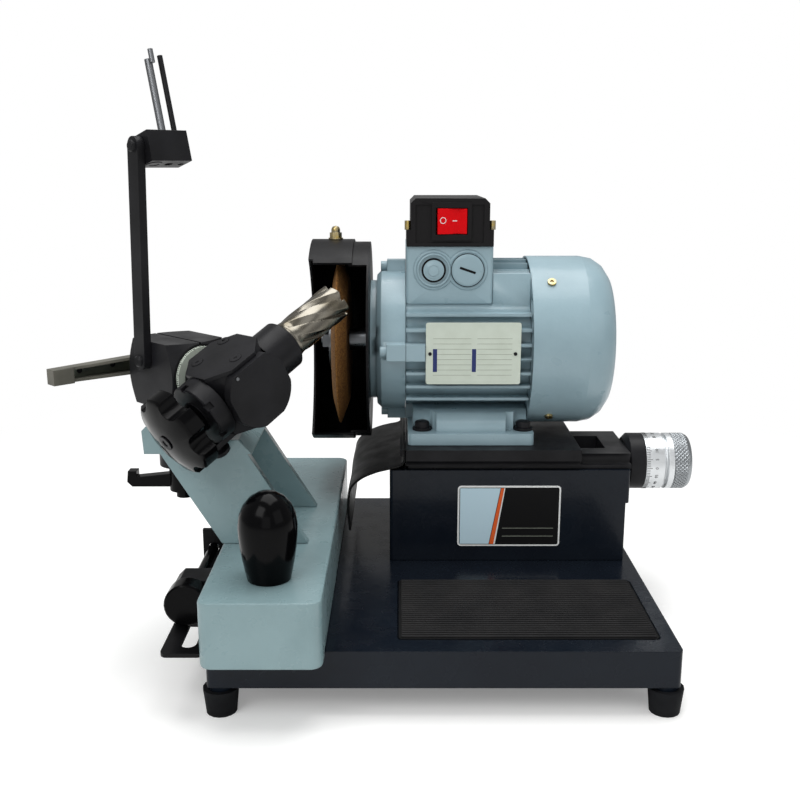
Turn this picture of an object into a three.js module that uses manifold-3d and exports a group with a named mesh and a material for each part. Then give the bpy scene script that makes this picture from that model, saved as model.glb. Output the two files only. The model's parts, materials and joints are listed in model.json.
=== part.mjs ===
// Annular cutter grinder: a bench machine that sharpens hollow core drills on a motor-driven wheel.
// Millimetres, +X to the right, +Y to the rear, +Z up. The operator stands at -Y.

import * as THREE from 'three';
import { mergeVertices } from 'three/addons/utils/BufferGeometryUtils.js';
import Module from 'manifold-3d';

const wasm = await Module();
wasm.setup();

// Fits and facets
const GAP = 0.3;
const RUN = 0.4;
const CUT = 2;
const FINE = 48;
const MEDIUM = 28;
const COARSE = 16;
const CORNER_STEPS = 4;

// Base casting, its feet and the parts tray
const base = {
  length: 336, depth: 333, top: 50, underside: 22, deck: 10, wall: 9, corner: 4, rib: 8,
  legInset: 9, legRadius: 9, legBottom: 6.3,
};
const foot = { height: 19, topRadius: 13, bottomRadius: 11, floor: 6 };
const tray = { left: -33, right: 157, front: -148, rear: -41.6, corner: 4, recess: 3, mat: 3, play: 1 };

// Riser under the slide
const riser = {
  left: -39.8, right: 163.9, front: 0, rear: 92, top: 131, corner: 3,
  stepWidth: 3.2, stepDrop: 29, channelLeft: 60, channelDepth: 26, channelWidth: 32,
};

// Dovetail slide
const way = {
  left: -24, right: 165, top: 143.5, topFront: 8, topRear: 82, undercut: 5,
  flange: 3.5, flangeOverhang: 4, slotLeft: 62, slotRight: 146.5, slotWidth: 40,
};
const table = {
  left: -26, right: 121, top: 149.7, front: -4, rear: 152, jawFront: -1, lip: 9.7, gib: 4,
};
const feed = {
  axisY: 45, axisZ: 126.5, hubRadius: 24.6, hubLength: 16.7, hubChamfer: 4, dialLength: 16.1,
  groove: 3.4, grooveDepth: 2, ringLength: 5, knobLength: 15.7, knobRound: 4,
  screwRadius: 6, screwEngagement: 10, nutLength: 18, nutWidth: 28, nutBottom: 14, nutCentre: 104,
};

// Motor
const motor = {
  axisY: 78, axisZ: 230, frameLeft: -26, frameRight: 79, coreRadius: 58, bore: 50, finRadius: 68,
  finPitch: 12.2, finThickness: 2.6, finLowest: -43, finHighest: 31, shoulderWidth: 90, shoulderTop: 37.7,
  lugSize: 14, lugReach: 71, lugLength: 16,
};
const shield = {
  radius: 61.5, round: 4, thickness: 8, flangeRadius: 52.5, flangeLength: 5.5, left: -51,
  bearingRadius: 17, bearingWidth: 12, bearingLip: 3, shaftHole: 10.5, wall: 6, hubRadius: 24,
};
const rearShield = {
  radius: 60, length: 12, lugWidth: 14, lugLength: 30, screwAngles: [-49, 56, 176],
};
const cowl = {
  right: 152.5, radius: 74, wall: 1.5, round: 26, slotRings: 2, slotFirstRadius: 20, slotPitch: 14,
  slotWidth: 7, slotsPerRing: 4, slotSpan: 66,
};
const rotor = {
  coreRadius: 36, coreLeft: -6, coreRight: 55, shaftRadius: 8, driveRadius: 7, threadRadius: 6,
  threadLength: 8, end: -101, fanSeat: 141, airGap: 0.6,
};
const stator = { left: -12, right: 61 };
const fan = { hubRadius: 14, hubLength: 24, left: 116, radius: 60, bladeThickness: 2, blades: 8, disc: 3 };
const motorFoot = {
  left: -24.3, right: 82.8, width: 136, bottom: 150, plate: 10, corner: 4, saddleTop: 26,
  padLeft: -20, padRight: 78.5, padSetback: 14, webLeft: 0, webRight: 59, webSetback: 7,
  boltX: [-12, 75], boltY: 52, boltRoom: 9.3,
};

// Terminal box and switch
const terminal = {
  left: -26, right: 47, front: 31, depth: 94, top: 315.7, corner: 3, shoulderRise: 25, topFin: 9.5,
  glandLeftX: -2.9, glandRightX: 25.4, glandZ: 296.4, glandRadius: 14.2, glandRise: 3, knockoutRadius: 10,
};
const switchBox = {
  left: -25.6, right: 46.7, front: 28, depth: 97, skirtTop: 329.8, top: 355.2, inset: 3.5, chamfer: 4,
  panelLeft: -18, panelRight: 38.3, panelBottom: 319, panelTop: 350, panelRecess: 1.5,
};
const bezel = { left: -4.8, right: 28.2, bottom: 321, top: 352.2, thickness: 2.4, corner: 1.5 };
const rocker = {
  width: 24.4, height: 20.9, bodyDepth: 9, crown: 3.4, tilt: 7, well: 16, sink: 2.5, play: 0.9,
};

// Wheel and its guard
const wheel = {
  left: -89, width: 13, radius: 75, rightBevel: 7.4, rightDepth: 20, leftBevel: 4.6, leftDepth: 17,
  bore: 10.3, flangeRadius: 27, flangeWidth: 3.6, nutFlats: 19, nutHeight: 6.4, spacerRadius: 10,
};
const guard = {
  left: -107.5, coverRight: -71, backLeft: -74, backRadius: 86.5, wall: 2, gapTop: 55, gapBottom: 60,
  notchCentre: 108, notchRadius: 97, shaftHole: 20,
};

// Rubber cover between the slide and the arm
const rubber = {
  front: -2, rear: 150, thickness: 2, clampThickness: 2.4, bendTop: 140, drop: 62.6, reach: 54.5,
  dropShares: [0, 0.054, 0.093, 0.118, 0.166, 0.257, 0.393, 0.623, 1],
  reachShares: [0, 0.035, 0.114, 0.251, 0.453, 0.673, 0.848, 0.943, 1],
};

// Swing arm
const arm = {
  left: -168, right: -83.5, front: -190, rear: 155, bottom: 52, top: 97, corner: 9, edge: 2,
  skirtDrop: 4, skirtRear: -171,
  pivotX: -124, pivotY: 125, pinRadius: 9, pinDepth: 26, pinHeight: 34, capRoof: 9, washerRadius: 18,
};
const handle = {
  x: -123.5, y: -147, height: 64.5, baseRadius: 15.5, bellyRadius: 21, bellyShare: 0.62,
  studRadius: 5, studDepth: 16,
};
const column = {
  front: -81, rear: 12, plate: 8, bottomLeft: -168, bottomRight: -102, lean: 0.615, top: 190,
  capThickness: 21, capLeft: -225.5, capDraft: 1, capStep: -188, capStepDrop: 10, leftRecess: 24, web: 12,
  capCorner: 3,
};

// Swing stop on the left of the base
const stop = {
  reach: 31, plateTop: 50, plate: 3, front: -169.5, rear: -14, corner: 5, slotReach: 13.3, slotWidth: 11,
  slotFront: -160, slotRear: -34, flangeDrop: 16, flangeThickness: 3.4, flangeFront: -150, flangeRear: -40,
  uprightReach: 27, uprightTop: 87, uprightThickness: 4,
  blockReach: 30.5, blockClearance: 3, blockFront: -122, blockLength: 24, blockTop: 84.1, blockChamfer: 5,
  knobRadius: 16, knobLength: 15, knobEdge: 1.2, rodReach: 18.3, rodZ: 71, rodRadius: 4, rodRear: -4,
};

// Work head: swivel, split block, graduated tilt and spindle
const head = {
  x: -207.6, y: -23.8, tiltZ: 222.5, turn: -45, halfLength: 32, half: 26, faceRadius: 25, chamfer: 8.7,
  boreRadius: 17, slit: 2, slitDepth: 12, postRadius: 11, postSocket: 8, flangeRadius: 19,
  underWasherRadius: 19,
};
const dial = { radius: 23.3, thickness: 3 };
const tilt = {
  angle: 28, offset: 77, half: 26, chamfer: 15, rearReach: 27, frontReach: 26, noseRadius: 27.5, nose: 5,
  plate: 3, plateInset: 0.5, spindleBore: 15, boltRadius: 5,
};
const spindle = {
  tubeRadius: 14.6, sleeveRadius: 19.8, sleeveStart: 26.3, sleeveEnd: 53, sleeveEdge: 1.5, toolBore: 9.8,
  toolSeat: 6, collar: 12,
};
const indexDisc = { radius: 25, front: -40, rear: -26.7, edge: 1, notches: 6, notchWidth: 5, notchDepth: 3 };
const starKnob = {
  radius: 33, lobes: 6, back: -52, front: -66, scallop: 10, scallopInset: 3.5, dome: 5, hubRadius: 12,
};
const plunger = {
  knobRadius: 8, knobEdge: 1.2, along: -37.5, top: -22.6, knobTop: -30.4, bottom: -34, drawn: 2.7,
  lugHalf: 5.5, lugTop: -25.6, lugBottom: -30, lugFront: -42, lugRear: -12, bore: 3, tip: 1.8,
};
const cutter = {
  tip: 112, radius: 15, bore: 10.6, boreDepth: 48, shankRadius: 9.5, flutes: 6, fluteDepth: 2.6,
  helixLead: 190, gullet: 3.2, gulletShare: 0.45, neck: 4, steps: 12, around: 48,
};
const bigLever = {
  hubRadius: 12, hubLength: 19, boltRadius: 5, length: 86, rootHeight: 15, tipHeight: 11, tipPad: 17,
  tipThickness: 9, channel: 10, wall: 2.2,
};
const smallLever = {
  hubRadius: 12, hubTop: 144.7, hubBottom: 123, screwRadius: 7, screwBottom: 117, length: 46,
  rootHeight: 12, tipHeight: 8, width: 9, hookLength: 8, hookRise: 5, hookDraft: 1, armZ: 126,
  stemRadius: 6, floor: 3,
};

// Tooth gauge above the head
const gauge = {
  pivotX: -4, pivotZ: 10.8, armWidth: 14.4, armThickness: 6.2, armLength: 162.3, leanAngle: 2.8,
  screwRadius: 4.6, screwHeight: 2.6, pinRadius: 2.6, pinReach: 7,
  blockTilt: 15.1, blockLeft: -6.9, blockRight: 12.9, blockBottom: -14.4, blockTop: 8.6, blockLength: 34,
  rodX: 3, silverRodY: 19.3, darkRodY: 30, silverRadius: 2.9, darkRadius: 2.1,
  silverReach: 56, darkReach: 59.5, rodTail: 17, fingerRadius: 2, fingerOffset: 5.2, fingerRise: 6,
};

// Finishes
const finish = {
  navyPaint: paint(0x1b212b, 0.25, 0.1),
  castPaint: paint(0x8fa7a6, 0.35, 0.1),
  motorPaint: paint(0x8b9fa3, 0.4, 0.1),
  blackOxide: paint(0x1d1d21, 0.45, 0.6),
  blackPlastic: paint(0x141416, 0.3, 0),
  rubber: paint(0x26272a, 0.8, 0),
  steel: paint(0xb9bcc0, 0.3, 0.9),
  bronze: paint(0xa67f45, 0.35, 0.9),
  wheelBond: paint(0x8a5f2c, 0.85, 0),
  scale: paint(0xcfc3a0, 0.5, 0.4),
  red: paint(0xd0101a, 0.35, 0),
  core: paint(0x6d7276, 0.5, 0.7),
};

function paint(colour, roughness, metalness) {
  return new THREE.MeshStandardMaterial({ color: colour, roughness, metalness });
}

// Solids from three.js geometry

function weld(geometry) {
  const bare = geometry.clone();
  bare.deleteAttribute('normal');
  bare.deleteAttribute('uv');
  return mergeVertices(bare);
}

function signedVolume(points, triangles) {
  const a = new THREE.Vector3();
  const b = new THREE.Vector3();
  const c = new THREE.Vector3();
  let sum = 0;
  for (const [i, j, k] of triangles) {
    a.fromArray(points, 3 * i);
    b.fromArray(points, 3 * j);
    c.fromArray(points, 3 * k);
    sum += a.dot(b.cross(c));
  }
  return sum;
}

function solid(geometry) {
  const merged = weld(geometry);
  const points = merged.attributes.position.array;
  const triangles = [];
  for (let i = 0; i < merged.index.count; i += 3) {
    const corners = [merged.index.getX(i), merged.index.getX(i + 1), merged.index.getX(i + 2)];
    if (new Set(corners).size === corners.length) triangles.push(corners);
  }
  if (signedVolume(points, triangles) < 0) triangles.forEach((corners) => corners.reverse());
  const mesh = new wasm.Mesh({
    numProp: 3,
    vertProperties: new Float32Array(points),
    triVerts: new Uint32Array(triangles.flat()),
  });
  return new wasm.Manifold(mesh);
}

function geometryOf(body) {
  const mesh = body.getMesh();
  const geometry = new THREE.BufferGeometry();
  geometry.setAttribute('position', new THREE.BufferAttribute(new Float32Array(mesh.vertProperties), 3));
  geometry.setIndex(new THREE.BufferAttribute(new Uint32Array(mesh.triVerts), 1));
  geometry.computeVertexNormals();
  return geometry;
}

function join(first, ...others) {
  return others.reduce((sum, other) => sum.add(other), first);
}

function cut(body, ...tools) {
  return tools.reduce((left, tool) => left.subtract(tool), body);
}

function common(first, ...others) {
  return others.reduce((left, other) => left.intersect(other), first);
}

function box(x0, x1, y0, y1, z0, z1) {
  const geometry = new THREE.BoxGeometry(x1 - x0, y1 - y0, z1 - z0);
  return solid(geometry.translate((x0 + x1) / 2, (y0 + y1) / 2, (z0 + z1) / 2));
}

function polygon(points) {
  return new THREE.Shape(points.map(([x, y]) => new THREE.Vector2(x, y)));
}

function roundedRectangle(x0, x1, y0, y1, radius) {
  const shape = new THREE.Shape();
  const quarter = Math.PI / 2;
  shape.absarc(x1 - radius, y0 + radius, radius, -quarter, 0, false);
  shape.absarc(x1 - radius, y1 - radius, radius, 0, quarter, false);
  shape.absarc(x0 + radius, y1 - radius, radius, quarter, 2 * quarter, false);
  shape.absarc(x0 + radius, y0 + radius, radius, 2 * quarter, 3 * quarter, false);
  shape.closePath();
  return shape;
}

function slotShape(x0, x1, y0, y1) {
  return roundedRectangle(x0, x1, y0, y1, Math.min(x1 - x0, y1 - y0) / 2);
}

const TURN_TO_X = new THREE.Matrix4().set(0, 0, 1, 0, 1, 0, 0, 0, 0, 1, 0, 0, 0, 0, 0, 1);
const TURN_TO_Y = new THREE.Matrix4().set(0, 1, 0, 0, 0, 0, 1, 0, 1, 0, 0, 0, 0, 0, 0, 1);

function extruded(shape, length) {
  const options = { depth: length, bevelEnabled: false, curveSegments: CORNER_STEPS };
  return new THREE.ExtrudeGeometry(shape, options);
}

// A prism along X of a shape drawn in Y and Z
function prismX(shape, x0, x1) {
  return solid(extruded(shape, x1 - x0).applyMatrix4(TURN_TO_X).translate(x0, 0, 0));
}

// A prism along Y of a shape drawn in Z and X
function prismY(shape, y0, y1) {
  return solid(extruded(shape, y1 - y0).applyMatrix4(TURN_TO_Y).translate(0, y0, 0));
}

// A prism along Z of a shape drawn in X and Y
function prismZ(shape, z0, z1) {
  return solid(extruded(shape, z1 - z0).translate(0, 0, z0));
}

// A body turned about Z from radius and height pairs that start and end on the axis, or close
function turned(profile, segments = FINE) {
  const onAxis = profile[0][0] === 0 && profile[profile.length - 1][0] === 0;
  const closed = onAxis ? profile : [...profile, profile[0]];
  const points = closed.map(([radius, height]) => new THREE.Vector2(radius, height));
  return solid(new THREE.LatheGeometry(points, segments).rotateX(Math.PI / 2));
}

function turnedX(profile, segments) {
  return turned(profile, segments).rotate([0, 90, 0]);
}

function turnedY(profile, segments) {
  return turned(profile, segments).rotate([-90, 0, 0]);
}

function discX(radius, x0, x1, segments = MEDIUM) {
  return turnedX([[0, x0], [radius, x0], [radius, x1], [0, x1]], segments);
}

function discY(radius, y0, y1, segments = MEDIUM) {
  return turnedY([[0, y0], [radius, y0], [radius, y1], [0, y1]], segments);
}

function discZ(radius, z0, z1, segments = MEDIUM) {
  return turned([[0, z0], [radius, z0], [radius, z1], [0, z1]], segments);
}

function ringX(inner, outer, x0, x1, segments = MEDIUM) {
  return turnedX([[inner, x0], [outer, x0], [outer, x1], [inner, x1]], segments);
}

function move(body, x, y, z) {
  return body.translate([x, y, z]);
}

function addPart(group, name, body, material) {
  const mesh = new THREE.Mesh(geometryOf(body), material);
  mesh.name = name;
  group.add(mesh);
  return mesh;
}

function radians(degrees) {
  return THREE.MathUtils.degToRad(degrees);
}

// Base

const halfLength = base.length / 2;
const halfDepth = base.depth / 2;
const legX = halfLength - base.legInset;
const legY = halfDepth - base.legInset;

function baseCasting() {
  const { top, underside, deck, wall, corner, rib } = base;
  const outline = roundedRectangle(-halfLength, halfLength, -halfDepth, halfDepth, corner);
  const hollowX = halfLength - wall;
  const hollowY = halfDepth - wall;
  const inner = roundedRectangle(-hollowX, hollowX, -hollowY, hollowY, corner / 2);
  let body = cut(prismZ(outline, underside, top), prismZ(inner, underside - CUT, top - deck));
  body = join(
    body,
    box(-rib / 2, rib / 2, -halfDepth + wall / 2, halfDepth - wall / 2, underside, top - deck / 2),
    box(-halfLength + wall / 2, halfLength - wall / 2, -rib / 2, rib / 2, underside, top - deck / 2),
    move(discZ(arm.washerRadius, underside, top - deck / 2), arm.pivotX, arm.pivotY, 0),
  );
  for (const [x, y] of [[-legX, -legY], [legX, -legY], [-legX, legY], [legX, legY]]) {
    body = join(body, move(discZ(base.legRadius, base.legBottom, top - deck / 2, COARSE), x, y, 0));
  }
  const recess = roundedRectangle(tray.left, tray.right, tray.front, tray.rear, tray.corner);
  const pinHole = discZ(arm.pinRadius + GAP, top - arm.pinDepth, top + CUT);
  return cut(body, prismZ(recess, top - tray.recess, top + CUT), move(pinHole, arm.pivotX, arm.pivotY, 0));
}

function rubberFoot() {
  const pocket = base.legRadius + GAP;
  return turned([
    [0, 0], [foot.bottomRadius, 0], [foot.topRadius, foot.height], [pocket, foot.height],
    [pocket, foot.floor], [0, foot.floor],
  ], COARSE);
}

function trayMat() {
  const bottom = base.top - tray.recess + GAP;
  const shape = roundedRectangle(
    tray.left + tray.play, tray.right - tray.play, tray.front + tray.play, tray.rear - tray.play,
    tray.corner - tray.play,
  );
  return prismZ(shape, bottom, bottom + tray.mat);
}

function buildBase(group) {
  addPart(group, 'base_casting', baseCasting(), finish.navyPaint);
  const places = {
    foot_front_left: [-legX, -legY], foot_front_right: [legX, -legY],
    foot_rear_left: [-legX, legY], foot_rear_right: [legX, legY],
  };
  for (const [name, [x, y]] of Object.entries(places)) {
    addPart(group, name, rubberFoot(), finish.rubber).position.set(x, y, 0);
  }
  addPart(group, 'tray_mat', trayMat(), finish.rubber);
}

// Riser and slide

const riserBottom = base.top + GAP;
const wayBottom = riser.top + GAP;

function riserBlock() {
  const outline = roundedRectangle(riser.left, riser.right, riser.front, riser.rear, riser.corner);
  const stepTop = riser.top - riser.stepDrop;
  const channelFront = feed.axisY - riser.channelWidth / 2;
  return cut(
    prismZ(outline, riserBottom, riser.top),
    box(riser.right - riser.stepWidth, riser.right + CUT, riser.front - CUT, riser.rear + CUT,
      riserBottom - CUT, stepTop),
    box(riser.channelLeft, riser.right + CUT, channelFront, channelFront + riser.channelWidth,
      riser.top - riser.channelDepth, riser.top + CUT),
  );
}

// The flank of the dovetail leans inwards from its top edge down to the flange
function flankY(edge, inward, z) {
  const flangeTop = wayBottom + way.flange;
  return edge + inward * way.undercut * ((way.top - z) / (way.top - flangeTop));
}

function dovetailWay() {
  const flangeTop = wayBottom + way.flange;
  const flangeFront = way.topFront - way.flangeOverhang;
  const flangeRear = way.topRear + way.flangeOverhang;
  const profile = polygon([
    [flangeFront, wayBottom], [flangeRear, wayBottom], [flangeRear, flangeTop],
    [flankY(way.topRear, -1, flangeTop), flangeTop], [way.topRear, way.top],
    [way.topFront, way.top], [flankY(way.topFront, 1, flangeTop), flangeTop], [flangeFront, flangeTop],
  ]);
  const slot = box(way.slotLeft, way.slotRight, feed.axisY - way.slotWidth / 2,
    feed.axisY + way.slotWidth / 2, wayBottom - CUT, way.top + CUT);
  const bore = discX(feed.screwRadius + RUN, way.slotLeft, way.right + CUT, COARSE);
  const groove = move(bore, 0, feed.axisY, feed.axisZ);
  return cut(prismX(profile, way.left, way.right), slot, groove);
}

const tableUnderside = way.top + RUN;
const jawBottom = wayBottom + way.flange + RUN;

function slideTable() {
  const frontFlank = (z) => flankY(way.topFront, 1, z) - RUN;
  const rearFlank = (z) => flankY(way.topRear, -1, z) + GAP + table.gib + GAP;
  const lipBottom = table.top - table.lip;
  const profile = polygon([
    [table.front, table.top], [table.front, lipBottom], [table.jawFront, lipBottom],
    [table.jawFront, jawBottom], [frontFlank(jawBottom), jawBottom],
    [frontFlank(tableUnderside), tableUnderside], [rearFlank(tableUnderside), tableUnderside],
    [rearFlank(jawBottom), jawBottom], [table.rear, jawBottom], [table.rear, table.top],
  ]);
  return prismX(profile, table.left, table.right);
}

function gibStrip() {
  const flank = (z) => flankY(way.topRear, -1, z) + GAP;
  const bottom = jawBottom;
  const top = way.top;
  const profile = polygon([
    [flank(bottom), bottom], [flank(bottom) + table.gib, bottom],
    [flank(top) + table.gib, top], [flank(top), top],
  ]);
  return prismX(profile, table.left, table.right);
}

function feedNut() {
  const half = feed.nutLength / 2;
  const body = box(feed.nutCentre - half, feed.nutCentre + half, feed.axisY - feed.nutWidth / 2,
    feed.axisY + feed.nutWidth / 2, feed.axisZ - feed.nutBottom, tableUnderside - GAP);
  const reach = half + CUT;
  const bore = discX(feed.screwRadius + RUN, feed.nutCentre - reach, feed.nutCentre + reach, COARSE);
  return cut(body, move(bore, 0, feed.axisY, feed.axisZ));
}

const hubLeft = way.right + GAP;
const hubRight = hubLeft + feed.hubLength;
const dialLeft = hubRight + GAP;
const dialRight = dialLeft + feed.dialLength + feed.groove + feed.ringLength;
const knobLeft = dialRight + GAP;
const knobRight = knobLeft + feed.knobLength;

function feedHub() {
  const r = feed.hubRadius;
  const bore = feed.screwRadius + RUN;
  return turnedX([
    [bore, hubLeft], [r - feed.hubChamfer, hubLeft], [r, hubLeft + feed.hubChamfer], [r, hubRight],
    [bore, hubRight],
  ]);
}

function feedDial() {
  const r = feed.hubRadius;
  const bore = feed.screwRadius + GAP;
  const grooveLeft = dialLeft + feed.dialLength;
  const grooveRight = grooveLeft + feed.groove;
  return turnedX([
    [bore, dialLeft], [r, dialLeft], [r, grooveLeft], [r - feed.grooveDepth, grooveLeft + feed.groove / 3],
    [r - feed.grooveDepth, grooveRight - feed.groove / 3], [r, grooveRight], [r, dialRight],
    [bore, dialRight],
  ]);
}

function feedKnob() {
  const r = feed.hubRadius;
  const round = feed.knobRound;
  const bore = feed.screwRadius + GAP;
  const socket = knobLeft + feed.screwEngagement;
  const nose = [];
  for (let i = 1; i <= CORNER_STEPS; i += 1) {
    const angle = (i / CORNER_STEPS) * (Math.PI / 2);
    nose.push([r - round + round * Math.cos(angle), knobRight - round + round * Math.sin(angle)]);
  }
  return turnedX([
    [0, socket], [bore, socket], [bore, knobLeft], [r, knobLeft], [r, knobRight - round], ...nose,
    [0, knobRight],
  ]);
}

function feedScrew() {
  return discX(feed.screwRadius, riser.channelLeft + CUT, knobLeft + feed.screwEngagement - GAP, COARSE);
}

function buildSlide(group) {
  addPart(group, 'riser', riserBlock(), finish.navyPaint);
  addPart(group, 'dovetail_way', dovetailWay(), finish.blackOxide);
  addPart(group, 'slide_table', slideTable(), finish.blackOxide);
  addPart(group, 'gib_strip', gibStrip(), finish.steel);
  addPart(group, 'feed_nut', feedNut(), finish.bronze);
  const screwLine = new THREE.Group();
  screwLine.position.set(0, feed.axisY, feed.axisZ);
  group.add(screwLine);
  addPart(screwLine, 'feed_hub', feedHub(), finish.blackOxide);
  addPart(screwLine, 'feed_screw', feedScrew(), finish.steel);
  addPart(screwLine, 'feed_dial', feedDial(), finish.steel);
  addPart(screwLine, 'feed_knob', feedKnob(), finish.steel);
}

// Motor, drawn about its own axis

function finBodies() {
  const fins = [];
  const half = motor.finThickness / 2;
  for (let z = motor.finLowest; z <= motor.finHighest; z += motor.finPitch) {
    const reach = Math.sqrt(motor.finRadius ** 2 - z ** 2);
    fins.push(box(motor.frameLeft, motor.frameRight, -reach, reach, z - half, z + half));
  }
  return fins;
}

function lug(angle, x0, x1) {
  const half = motor.lugSize / 2;
  const body = box(x0, x1, -half, half, motor.bore + GAP, motor.lugReach);
  return body.rotate([angle, 0, 0]);
}

const frontFace = motor.frameLeft - GAP;
const LUG_ANGLES = [0, 90, 180, 270];

function motorFrame() {
  const halfShoulder = motor.shoulderWidth / 2;
  const shoulderBack = terminal.right + GAP;
  const rise = motor.shoulderTop + terminal.shoulderRise;
  let body = join(
    discX(motor.coreRadius, motor.frameLeft, motor.frameRight, FINE),
    ...finBodies(),
    box(motor.frameLeft, motor.frameRight, -halfShoulder, halfShoulder, 0, motor.shoulderTop),
    box(shoulderBack, motor.frameRight, -halfShoulder, halfShoulder, 0, rise),
  );
  const topFins = Math.floor(motor.shoulderWidth / motor.finPitch);
  for (let i = 0; i <= topFins; i += 1) {
    const y = (i - topFins / 2) * motor.finPitch;
    const half = motor.finThickness / 2;
    const top = Math.min(rise + terminal.topFin, Math.sqrt((motor.lugReach + CUT / 2) ** 2 - y ** 2));
    body = join(body, box(shoulderBack, motor.frameRight, y - half, y + half, motor.coreRadius / 2, top));
  }
  for (const angle of LUG_ANGLES.filter((angle) => angle !== 0)) {
    body = join(body, lug(angle, motor.frameLeft, motor.frameLeft + motor.lugLength));
  }
  return cut(body, discX(motor.bore, motor.frameLeft - CUT, motor.frameRight + CUT, FINE));
}

const flangeLeft = shield.left - shield.flangeLength;
const bearingLeft = flangeLeft + shield.wall;
const bearingRight = bearingLeft + shield.bearingWidth;

function frontShield() {
  const seat = shield.bearingRadius + GAP;
  const { radius, round } = shield;
  let body = turnedX([
    [shield.shaftHole, flangeLeft], [shield.flangeRadius, flangeLeft], [shield.flangeRadius, shield.left],
    [radius - round, shield.left], [radius, shield.left + round], [radius, frontFace],
    [motor.bore - shield.wall, frontFace], [motor.bore - shield.wall, shield.left + shield.thickness],
    [shield.hubRadius, shield.left + shield.thickness], [shield.hubRadius, bearingRight],
    [seat, bearingRight], [seat, bearingLeft], [shield.shaftHole, bearingLeft],
  ]);
  for (const angle of LUG_ANGLES) {
    body = join(body, lug(angle, frontFace - motor.lugLength, frontFace));
  }
  return body;
}

const rearFace = motor.frameRight + GAP;
const rearBearingLeft = rearFace + rearShield.length - shield.bearingWidth;

function rearShieldBody() {
  const seat = shield.bearingRadius + GAP;
  const right = rearFace + rearShield.length;
  let body = turnedX([
    [shield.shaftHole, right], [shield.shaftHole, right + shield.bearingLip],
    [shield.hubRadius, right + shield.bearingLip], [shield.hubRadius, right],
    [rearShield.radius, right], [rearShield.radius, rearFace], [seat, rearFace], [seat, right],
  ]);
  const half = rearShield.lugWidth / 2;
  const reach = cowl.radius - cowl.wall - GAP;
  for (const angle of rearShield.screwAngles) {
    const ear = box(rearFace, rearFace + rearShield.lugLength, -half, half, shield.hubRadius, reach);
    const round = discX(reach, rearFace, rearFace + rearShield.lugLength, FINE);
    body = join(body, common(ear, round).rotate([angle + 90, 0, 0]));
  }
  const room = discX(fan.radius - shield.wall, right, fan.left, FINE);
  const keptHub = ringX(shield.shaftHole, shield.hubRadius, right, right + shield.bearingLip);
  body = join(cut(body, room), keptHub);
  return body;
}

function bearing(left) {
  const right = left + shield.bearingWidth - GAP;
  return ringX(rotor.shaftRadius + GAP, shield.bearingRadius, left + GAP, right, MEDIUM);
}

function coolingFan() {
  const bore = rotor.shaftRadius + GAP;
  let body = ringX(bore, fan.hubRadius, fan.left, fan.left + fan.hubLength, MEDIUM);
  body = join(body, ringX(fan.hubRadius - CUT, fan.radius, fan.left, fan.left + fan.disc));
  const half = fan.bladeThickness / 2;
  const right = fan.left + fan.hubLength;
  for (let i = 0; i < fan.blades; i += 1) {
    const blade = box(fan.left, right, -half, half, fan.hubRadius - CUT, fan.radius - CUT);
    body = join(body, blade.rotate([(360 / fan.blades) * i, 0, 0]));
  }
  return body;
}

function cowlProfile(radius, right, round) {
  const arc = [];
  for (let i = 0; i <= CORNER_STEPS; i += 1) {
    const angle = (i / CORNER_STEPS) * (Math.PI / 2);
    arc.push([radius - round + round * Math.cos(angle), right - round + round * Math.sin(angle)]);
  }
  return arc;
}

function fanCowl() {
  const { radius, wall, right, round } = cowl;
  const left = motor.frameRight + GAP;
  const inner = cowlProfile(radius - wall, right - wall, round - wall).reverse();
  const outer = cowlProfile(radius, right, round);
  let body = turnedX([
    [0, right - wall], ...inner, [radius - wall, left], [radius, left], ...outer, [0, right],
  ]);
  for (let ring = 0; ring < cowl.slotRings; ring += 1) {
    const r = cowl.slotFirstRadius + ring * cowl.slotPitch;
    body = cut(body, ...arcSlots(r, r + cowl.slotWidth, right - wall - CUT, right + CUT, ring));
  }
  return body;
}

function arcSlots(inner, outer, x0, x1, ring) {
  const slots = [];
  for (let i = 0; i < cowl.slotsPerRing; i += 1) {
    const middle = (360 / cowl.slotsPerRing) * (i + (ring % 2) / 2);
    const from = radians(middle - cowl.slotSpan / 2);
    const to = radians(middle + cowl.slotSpan / 2);
    const shape = new THREE.Shape();
    shape.absarc(0, 0, outer, from, to, false);
    shape.absarc(0, 0, inner, to, from, true);
    shape.closePath();
    slots.push(prismX(shape, x0, x1));
  }
  return slots;
}

function rotorBody() {
  const { coreRadius, coreLeft, coreRight, shaftRadius, driveRadius, threadRadius, threadLength } = rotor;
  return turnedX([
    [0, rotor.end], [threadRadius, rotor.end], [threadRadius, rotor.end + threadLength],
    [driveRadius, rotor.end + threadLength], [driveRadius, flangeLeft], [shaftRadius, flangeLeft],
    [shaftRadius, coreLeft], [coreRadius, coreLeft], [coreRadius, coreRight], [shaftRadius, coreRight],
    [shaftRadius, rotor.fanSeat], [0, rotor.fanSeat],
  ], MEDIUM);
}

function statorRing() {
  return ringX(rotor.coreRadius + rotor.airGap, motor.bore - GAP, stator.left, stator.right);
}

function boltPlaces() {
  const places = [];
  for (const x of motorFoot.boltX) {
    for (const side of [-1, 1]) places.push([x, motor.axisY + side * motorFoot.boltY]);
  }
  return places;
}

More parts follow.
